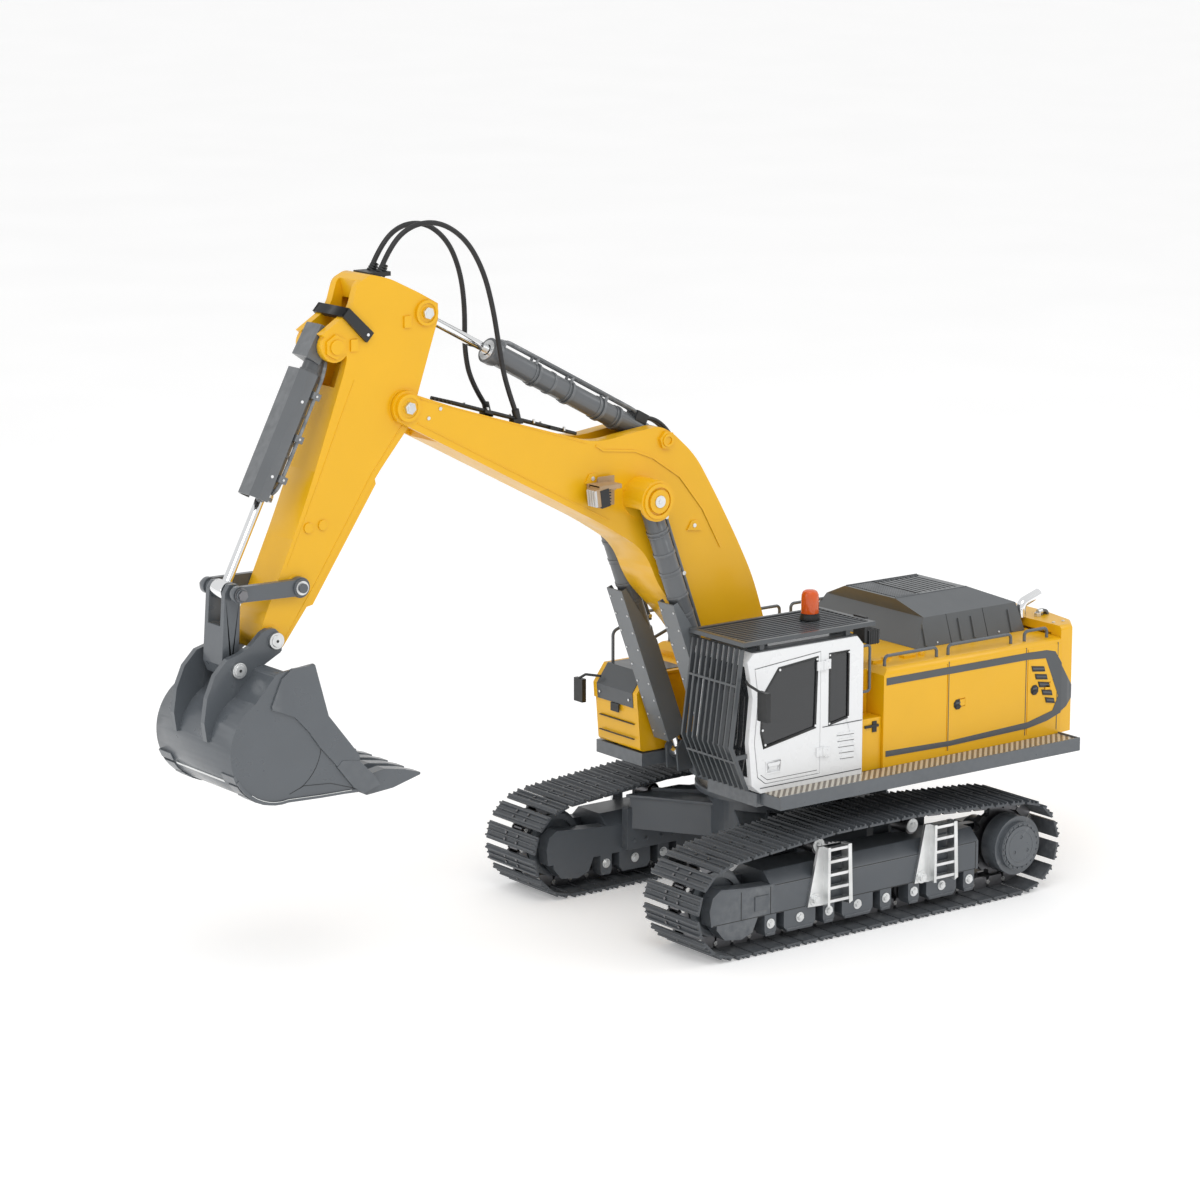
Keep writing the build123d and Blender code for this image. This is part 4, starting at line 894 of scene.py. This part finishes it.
def door_details():
    black, white, silver = Kit(), Kit(), Kit()
    black.strip(DOOR_PANE, 2.2, CAB_FACE - 1.4, CAB_FACE + 0.3, closed=True)
    for x, z in ((56, 187.5), (54.6, 247.5), (97, 243.6), (114.6, 221), (116, 192), (112.8, 178.4)):
        white.disc((x, z), 1.1, CAB_FACE + 0.25, CAB_FACE + 0.9, sides=14)
    latch = [(95.6, 152), (111.4, 152), (111.4, 162.4), (95.6, 162.4)]
    white.strip(latch, 1.2, CAB_FACE - 0.3, CAB_FACE + 0.5, closed=True)
    white.plate([(96, 161.6), (111, 161.6), (109, 158.4), (98, 158.4)], CAB_FACE - 0.3, CAB_FACE + 1.6)
    silver.disc((108.6, 155), 1.0, CAB_FACE - 0.3, CAB_FACE + 0.3, sides=14)
    black.strip([(53.4, 146.6), (110, 146.6), (117.4, 152)], 0.5, CAB_FACE - 0.3, CAB_FACE + 0.15)
    for z in (163, 241):
        for dz in (-2.6, 2.6):
            white.disc((51, z + dz), 0.8, CAB_FACE + 1.6, CAB_FACE + 2.1, sides=10)
    black.make("door_trim", BLACK, "door", "black_plastic", 0.15)
    white.make("door_screws", WHITE, "door", "white", 0.15)
    silver.make("door_handle", SILVER, "door", "steel", 0.3)


def lamp_details():
    """Beacon dome on its rubber foot and the work lamp behind the cab; both stand for the CAD lamps."""
    amber, lens, black = Kit(), Kit(), Kit()
    black.lathe(30, 86, [(9, 273), (9, 276), (8.4, 277.4), (8.4, 279)])
    dome = [(8, 279), (8, 292), (7.6, 296), (6.4, 298.6), (4.2, 299.8), (1.4, 300)]
    amber.lathe(30, 86, dome)
    black.box(-16, -12, 96, 112, 250, 274)
    black.box(-28.6, -16, 94.6, 113.4, 248.6, 261.4)
    for i in range(4):
        black.box(-27 + i * 2.6, -25.8 + i * 2.6, 94.2, 113.8, 248.2, 261.8)
    lens.box(-29.8, -28.4, 96, 112, 250, 260)
    for y in (99, 104, 109):
        lens.box(-30, -29.6, y - 0.5, y + 0.5, 250.4, 259.6)
    beacon = amber.make("beacon_dome", ORANGE, "house", "orange_plastic", 0.2)
    lens.make("work_lamp_lens", LENS, "house", "white", 0.2)
    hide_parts("cab_lamps")
    black.make("lamp_bodies", BLACK, "house", "black_plastic", 0.3)


cab_details()
door_details()
lamp_details()

# ---------------------------------------------------------------- boom and arm

BOOM_PIN = joint_xz("left_boom_cylinder_swing")
STICK_PIVOT = joint_xz("stick_swing")
BUCKET_PIN = joint_xz("bucket_curl")
BUCKET_BASE = joint_xz("bucket_cylinder_swing")
ROCKER_PIVOT = joint_xz("rocker_swing")
STICK_BASE = joint_xz("stick_cylinder_swing")
STICK_PIN = (394.0, 570.0)
ROCKER_PIN = (583.0, 355.0)
LINK_PIN = (587.0, 293.0)
BOOM_CYLINDER_Y = 37.5
BOOM_FACE = 25.0
BOSS_FACE = 53.0
STICK_FACE = 20.0
BUCKET_FACE = 59.0
DRUM = (569.4, 230.4)


def boom_details():
    yellow, silver, black, tan, lens = Kit(), Kit(), Kit(), Kit(), Kit()
    for _, s in BOTH:
        face = s * BOOM_FACE
        yellow.disc(STICK_PIVOT, 10.5, *layer(face, s, 0, 2.6))
        silver.bolt(STICK_PIVOT, s * 28, s, 5.4, 2.8, washer=False)
        yellow.collar(STICK_PIVOT, face, face + s * 3.2, 11.6, 8.6)
        yellow.disc(STICK_BASE, 8.6, *layer(face, s, 0, 2.8), sides=6, turn=0.2)
        yellow.collar(STICK_BASE, face, face + s * 4.0, 5.6, 3.6)
        boss = s * BOSS_FACE
        yellow.collar(BOOM_PIN, boss - s * 0.4, boss + s * 1.6, 15.6, 12.4)
        yellow.disc(BOOM_PIN, 10.4, *layer(boss, s, 0, 2.6))
        silver.disc(BOOM_PIN, 5.4, *layer(boss, s, 2.6, 3.6))
        silver.disc(BOOM_PIN, 2.2, *layer(boss, s, 3.6, 4.4), sides=6)
        yellow.disc(BOOM_FOOT, 12.6, *layer(0, s, 20.2, 20.5))
        rib = [(222, 441), (214, 436), (180, 432), (160, 424), (130, 404), (104, 372), (84, 336)]
        yellow.strip(rib, 1.8, *layer(face, s, -0.2, 1.0))
        for x, z in ((226, 411), (114, 357)):
            fin = [(x - 8, z - 4), (x + 8, z - 2), (x + 3, z + 6), (x - 3, z + 6)]
            yellow.plate(fin, *layer(face, s, 0, 1.4))
            silver.disc((x, z + 1.6), 1.9, *layer(face, s, 1.4, 2.0), sides=16)
        for weld in ([(407, 479), (207, 373.6)], [(404, 499.4), (232, 444.4)]):
            yellow.strip(weld, 1.0, *layer(face, s, -0.2, 0.5))
        for x, z in ((396, 482), (384, 489)):
            silver.disc((x, z), 1.8, *layer(face, s, 0, 0.9), sides=6)
    for x in (250, 282, 330):
        z = 443 + (x - 221) * 44 / 144
        for y in (-17.5, 17.5):
            silver.stick((x, y, z + 4), (x + 0.4, y, z + 7.4), 1.3, 6)
    for x, y, z in [points[-1] for points in HOSES]:
        black.ring((x - 1.2, y, z - 5), (x + 1.0, y, z + 3.4), 3.3, 2.2, 20)
        black.box(x - 5, x + 5, y - 3.6, y + 3.6, z - 9, z - 4.6)
    for y in (-13.5, -19):
        black.tube([(150, y, 448), (136, y, 453), (118, y, 444), (102, y, 422), (97, y, 396)], 2.0)
    tan.plate([(205, 388), (223, 388), (223, 414), (205, 414)], 28.8, 29.6)
    tan.plate([(214, 404), (232, 405.4), (232, 409), (213, 409.6)], 29, 44)
    black.plate([(221, 391), (230, 389.4), (232, 405), (223, 406.6)], 30.4, 45.6)
    for i in range(4):
        y = 32.4 + i * 3.4
        lens.plate([(233.6, 391), (235.8, 390.8), (237.6, 405), (235.4, 405.4)], y, y + 2.2)
    for i in range(6):
        z = 391.4 + i * 2.6
        black.box(219.6, 222, 31.4, 44.6, z, z + 1.2)
    yellow.make("boom_bosses", YELLOW, "boom", "yellow", 0.35)
    silver.make("boom_pin_nuts", SILVER, "boom", "steel", 0.2)
    black.make("boom_hose_blocks", BLACK, "boom", "black_plastic", 0.3)
    tan.make("boom_lamp_bracket", TAN, "boom", "tan", 0.3)
    lens.make("boom_lamp_ribs", LENS, "boom", "white", 0.3)


def boom_cylinder_details():
    for name, s in BOTH:
        ribs, silver, black, rivets = Kit(), Kit(), Kit(), Kit()
        at = beside(BOOM_PIN, BOOM_BASE, s * BOOM_CYLINDER_Y)
        for along, r in ((30, 10.2), (70, 9.9), (112, 9.9), (146, 10.3)):
            ribs.ring(at(along, 0), at(along + 2.2, 0), r, 9.0)
            ribs.ring(at(along + 4.2, 0), at(along + 5.6, 0), r - 0.3, 9.0)
        for along in (24, 80, 138):
            silver.stick(at(along, -12.4, 2.2), at(along, -12.4, -2.2), 2.0, 12)
        black.stick(at(150, -5.8), at(160, -5.8), 2.6, 16)
        ribs.make(name + "_cylinder_rings", CYLINDER, name + "_boom_barrel", "mid_grey", 0.2)
        silver.make(name + "_pipe_fittings", SILVER, name + "_boom_barrel", "steel", 0.15)
        black.make(name + "_cylinder_port", BLACK, name + "_boom_barrel", "black_plastic", 0.2)
        guard_start = math.dist(BOOM_PIN, BOOM_BASE) - 168
        for i in range(9):
            along = guard_start + i * 17.5
            for dy in (-8.4, 8.4):
                rivets.stick(at(along, 14.4, dy), at(along, 15.3, dy), 1.0, 10)
        rivets.make(name + "_guard_rivets", SILVER, name + "_boom_rod", "steel", 0.1)


def stick_cylinder_details():
    ribs, silver, black, pipe = Kit(), Kit(), Kit(), Kit()
    at = beside(STICK_BASE, STICK_PIN)
    for along in (42, 62, 100, 140, 186):
        ribs.ring(at(along, 0), at(along + 3.0, 0), 10.8, 9.2)
        ribs.ring(at(along + 5.2, 0), at(along + 6.4, 0), 10.2, 9.2)
    for dy in (-4.4, 4.4):
        route = ((20, 8), (26, 13.6), (40, 14), (176, 14), (184, 13.6), (188, 8))
        pipe.tube([at(along, across, dy) for along, across in route], 1.5)
    for along in (62, 104, 146, 184):
        for dy in (-4.4, 4.4):
            pipe.stick(at(along, 8, dy), at(along, 14, dy), 1.5, 12)
    black.prism([at(14, 6, -8), at(27, 6, -8), at(27, 15, -8), at(14, 15, -8)], (0, 16, 0))
    ribs.ring(at(189, 0), at(195.8, 0), 11.4, 8.6)
    silver.ring(at(195.4, 0), at(196.6, 0), 9.0, 4.8)
    ribs.make("stick_cylinder_rings", CYLINDER, "stick_barrel", "mid_grey", 0.2)
    pipe.make("stick_cylinder_pipes", CYLINDER, "stick_barrel", "mid_grey", 0.1)
    black.make("stick_cylinder_port", BLACK, "stick_barrel", "black_plastic", 0.2)
    silver.make("stick_cylinder_gland", SILVER, "stick_barrel", "steel", 0.2)


def stick_details():
    yellow, silver, black, white = Kit(), Kit(), Kit(), Kit()
    for _, s in BOTH:
        face = s * STICK_FACE
        yellow.disc(STICK_PIN, 10.5, *layer(face, s, 0, 1.6))
        yellow.collar(STICK_PIN, face, face + s * 2.6, 10.8, 8.2)
        silver.bolt(STICK_PIN, s * 22.5, s, 5.2, 2.6, washer=False)
        yellow.disc(BUCKET_BASE, 10.5, *layer(face, s, 0, 2.2), sides=6, turn=0.5)
        yellow.disc(BUCKET_BASE, 6.2, *layer(face, s, 2.2, 3.8))
        for x, z in ((413, 564), (466, 549)):
            yellow.box(x - 3.6, x + 3.6, *layer(face, s, -0.1, 1.6), z - 5, z + 5)
        for at in ((513, 401.5), (499, 402.4)):
            yellow.disc(at, 4.4, *layer(face, s, 0, 1.4), sides=28)
        fold = [(466, 520), (478, 494), (504, 436), (534, 372)]
        yellow.strip(fold, 0.9, *layer(face, s, -0.2, 0.4))
        weld = [(414, 484), (450, 440), (506, 356), (540, 308)]
        yellow.strip(weld, 0.9, *layer(face, s, -0.2, 0.4))
        yellow.disc(STICK_PIVOT, 15, *layer(face, s, -0.2, 0.55))
        yellow.disc(ROCKER_PIVOT, 10.5, *layer(face, s, -0.2, 0.5))
        yellow.disc(BUCKET_PIN, 11.4, *layer(face, s, -0.2, 0.9))
    lean = Vector((-11, 0, 20)).normalized()
    for y in (-7, 7):
        for i in range(5):
            a = Vector((431, y, 603)) + lean * (i * 2.1)
            black.ring(a, a + lean * 1.3, 4.6 - i * 0.3, 2.3, 24)
    black.box(424, 444, -13, 13, 602.5, 606.2)
    black.plate([(468, 577), (474, 570.6), (478, 574), (472, 580.6)], -23.4, 23.4)
    for s in (-1, 1):
        black.plate([(448, 558), (455, 550.6), (478, 574), (472, 580.6)], *layer(0, s, STICK_FACE, 23.4))
        white.disc((454, 557), 1.3, *layer(0, s, 23.4, 24.0), sides=12)
    yellow.make("stick_bosses", YELLOW, "stick", "yellow", 0.3)
    silver.make("stick_nuts", SILVER, "stick", "steel", 0.2)
    black.make("stick_guard_bar", BLACK, "stick", "black_plastic", 0.2)
    white.make("stick_guard_screws", WHITE, "stick", "white", 0.15)


def bucket_cylinder_details():
    ribs, silver, white, pipe, clamps = Kit(), Kit(), Kit(), Kit(), Kit()
    at = beside(BUCKET_BASE, ROCKER_PIN)
    for along in (24, 60, 96, 126):
        ribs.ring(at(along, 0), at(along + 2.6, 0), 10.0, 8.8)
    for along in (52, 118):
        for s in (-1, 1):
            white.stick(at(along, 7, s * 14.6), at(along, 7, s * 15.6), 1.3, 14)
    route = ((14, -2, 12), (22, -3, 13.6), (34, -4, 13.8), (118, -4, 13.8), (126, -4, 12), (130, -4, 8))
    pipe.tube([at(*p) for p in route], 1.6)
    for along in (40, 78, 114):
        corners = ((along, -8), (along + 6, -8), (along + 6, 0), (along, 0))
        clamps.prism([at(*corner, 8.6) for corner in corners], (0, 7.2, 0))
        silver.stick(at(along + 3, -4, 15.6), at(along + 3, -4, 16.6), 1.2, 6)
    silver.ring(at(131.5, 0), at(135.6, 0), 9.6, 8.6)
    ribs.make("bucket_cylinder_rings", CYLINDER, "bucket_barrel", "mid_grey", 0.2)
    white.make("bucket_guard_screws", WHITE, "bucket_barrel", "white", 0.1)
    pipe.make("bucket_cylinder_pipe", CYLINDER, "bucket_barrel", "mid_grey", 0.1)
    clamps.make("bucket_cylinder_clamps", CYLINDER, "bucket_barrel", "mid_grey", 0.2)
    silver.make("bucket_cylinder_gland", SILVER, "bucket_barrel", "steel", 0.2)


def linkage_details():
    silver, dark = Kit(), Kit()
    for _, s in BOTH:
        silver.disc(ROCKER_PIVOT, 6.0, *layer(0, s, 28, 29.2))
        silver.disc(ROCKER_PIVOT, 3.2, *layer(0, s, 29.2, 30.6), sides=6)
        dark.disc(ROCKER_PIN, 6.0, *layer(0, s, 26.4, 28))
        dark.disc(ROCKER_PIN, 4.6, *layer(0, s, 28, 31.4), sides=6, turn=0.3)
    silver.make("rocker_caps", SILVER, "rocker_levers", "steel", 0.2)
    dark.make("rocker_nuts", GUNMETAL, "rocker_levers", "dark_grey", 0.2)


def bucket_details():
    """Seams, heel plates, side cutters, wear segments and pin caps of the bucket."""
    seams, silver, wear, caps = Kit(), Kit(), Kit(), Kit()

    def drum(angle, r):
        """A point on the bucket's round back, by its angle in degrees and its radius."""
        a = math.radians(angle)
        return (DRUM[0] + r * math.cos(a), DRUM[1] + r * math.sin(a))

    for _, s in BOTH:
        face = s * BUCKET_FACE
        seam_faces = layer(face, s, -0.2, 0.2)
        seams.strip([drum(a, 41) for a in range(130, 250, 8)], 0.5, *seam_faces)
        seams.strip([(496, 186), (520, 194), (546, 196), (560, 191)], 0.5, *seam_faces)
        rim = [drum(a, 45.4) for a in range(-100, -20, 8)]
        wear.strip([(492, 184.2), (530, 184.6)] + rim, 2.6, *layer(face, s, -0.3, 1.2))
        edge = [(500, 185.4), (530, 185.8)] + [drum(a, 44) for a in range(-100, -44, 8)]
        silver.strip(edge, 0.5, *layer(face, s, 1.0, 1.4))
        for at, r in ((BUCKET_PIN, 7.0), (LINK_PIN, 6.6)):
            caps.disc(at, r, *layer(0, s, 27, 30.0))
            caps.disc(at, r * 0.72, *layer(0, s, 30.0, 30.8))
            seams.disc(at, 1.3, *layer(0, s, 30.8, 31.0), sides=10)
        cutter = [(488, 181), (498, 187), (514, 207), (509, 212), (492, 209), (478, 195), (472, 186)]
        wear.plate(cutter, *layer(0, s, 58.0, 61.0))
        for a in (-62, -30):
            heel = [drum(a, 47.4), drum(a + 9, 47.4), drum(a + 9, 45), drum(a, 45)]
            wear.plate(heel, *layer(0, s, 40, 59.4))
    for a in (-96, -80, -64, -48):
        outside = [drum(a, 47.2), drum(a + 7, 47.4), drum(a + 14, 47.2)]
        for y in (-57, 43):
            wear.plate(outside + [drum(a + 14, 45), drum(a, 45)], y, y + 14)
    rail = [drum(-34, 46.8), drum(-31, 46.8), drum(-31, 45), drum(-34, 45)]
    silver.plate(rail, -38, 38)
    for y in (-36.8, -12.2, 12.2, 36.8):
        wear.plate([(488, 181.6), (506, 181.8), (506, 184.4), (488, 185.2)], y - 3.4, y + 3.4)
    seams.make("bucket_seams", BLACK, "bucket", "dark_grey", 0.05)
    silver.make("bucket_bright_edges", SILVER, "bucket", "steel", 0.1)
    wear.make("bucket_wear_plates", GREY, "bucket", "mid_grey", 0.3)
    caps.make("bucket_pin_caps", SILVER, "bucket", "steel", 0.4)


boom_details()
boom_cylinder_details()
stick_cylinder_details()
stick_details()
bucket_cylinder_details()
linkage_details()
bucket_details()

# -------------------------------------------------------------- light and floor


LIT_POINT = (0, 0, 0.2)


def area_light(name, place, size, power):
    data = bpy.data.lights.new(name, "AREA")
    data.shape = "DISK"
    data.size = size
    data.energy = power
    light = bpy.data.objects.new(name, data)
    bpy.context.scene.collection.objects.link(light)
    light.location = place
    light.rotation_euler = (Vector(LIT_POINT) - Vector(place)).to_track_quat("-Z", "Y").to_euler()


def make_floor():
    mesh = bpy.data.meshes.new("floor")
    mesh.from_pydata([(-30, -30, 0), (30, -30, 0), (30, 30, 0), (-30, 30, 0)], [], [(0, 1, 2, 3)])
    floor = bpy.data.objects.new("floor", mesh)
    bpy.context.scene.collection.objects.link(floor)
    mat, tree, shader = new_material("floor_paper")
    paper = ramp(tree, noise(tree, 3, 2), (0.9, 0.9, 0.9), (0.93, 0.93, 0.93))
    feed(tree, shader, {"Base Color": paper, "Roughness": 0.7})
    feed(tree, shader, {"Emission Color": (1, 1, 1, 1), "Emission Strength": 0.22})
    mesh.materials.append(mat)


def make_lights():
    world = bpy.data.worlds.new("studio")
    world.use_nodes = True
    world.node_tree.nodes["Background"].inputs[0].default_value = (1, 1, 1, 1)
    world.node_tree.nodes["Background"].inputs[1].default_value = 0.8
    bpy.context.scene.world = world
    bpy.context.scene.view_settings.view_transform = "Standard"
    area_light("key", (1.1, 1.6, 2.6), 1.8, 22)
    area_light("fill", (2.6, -0.6, 1.2), 1.8, 8)
    area_light("rim", (-2.0, 1.2, 2.0), 1.4, 9)


make_floor()
make_lights()
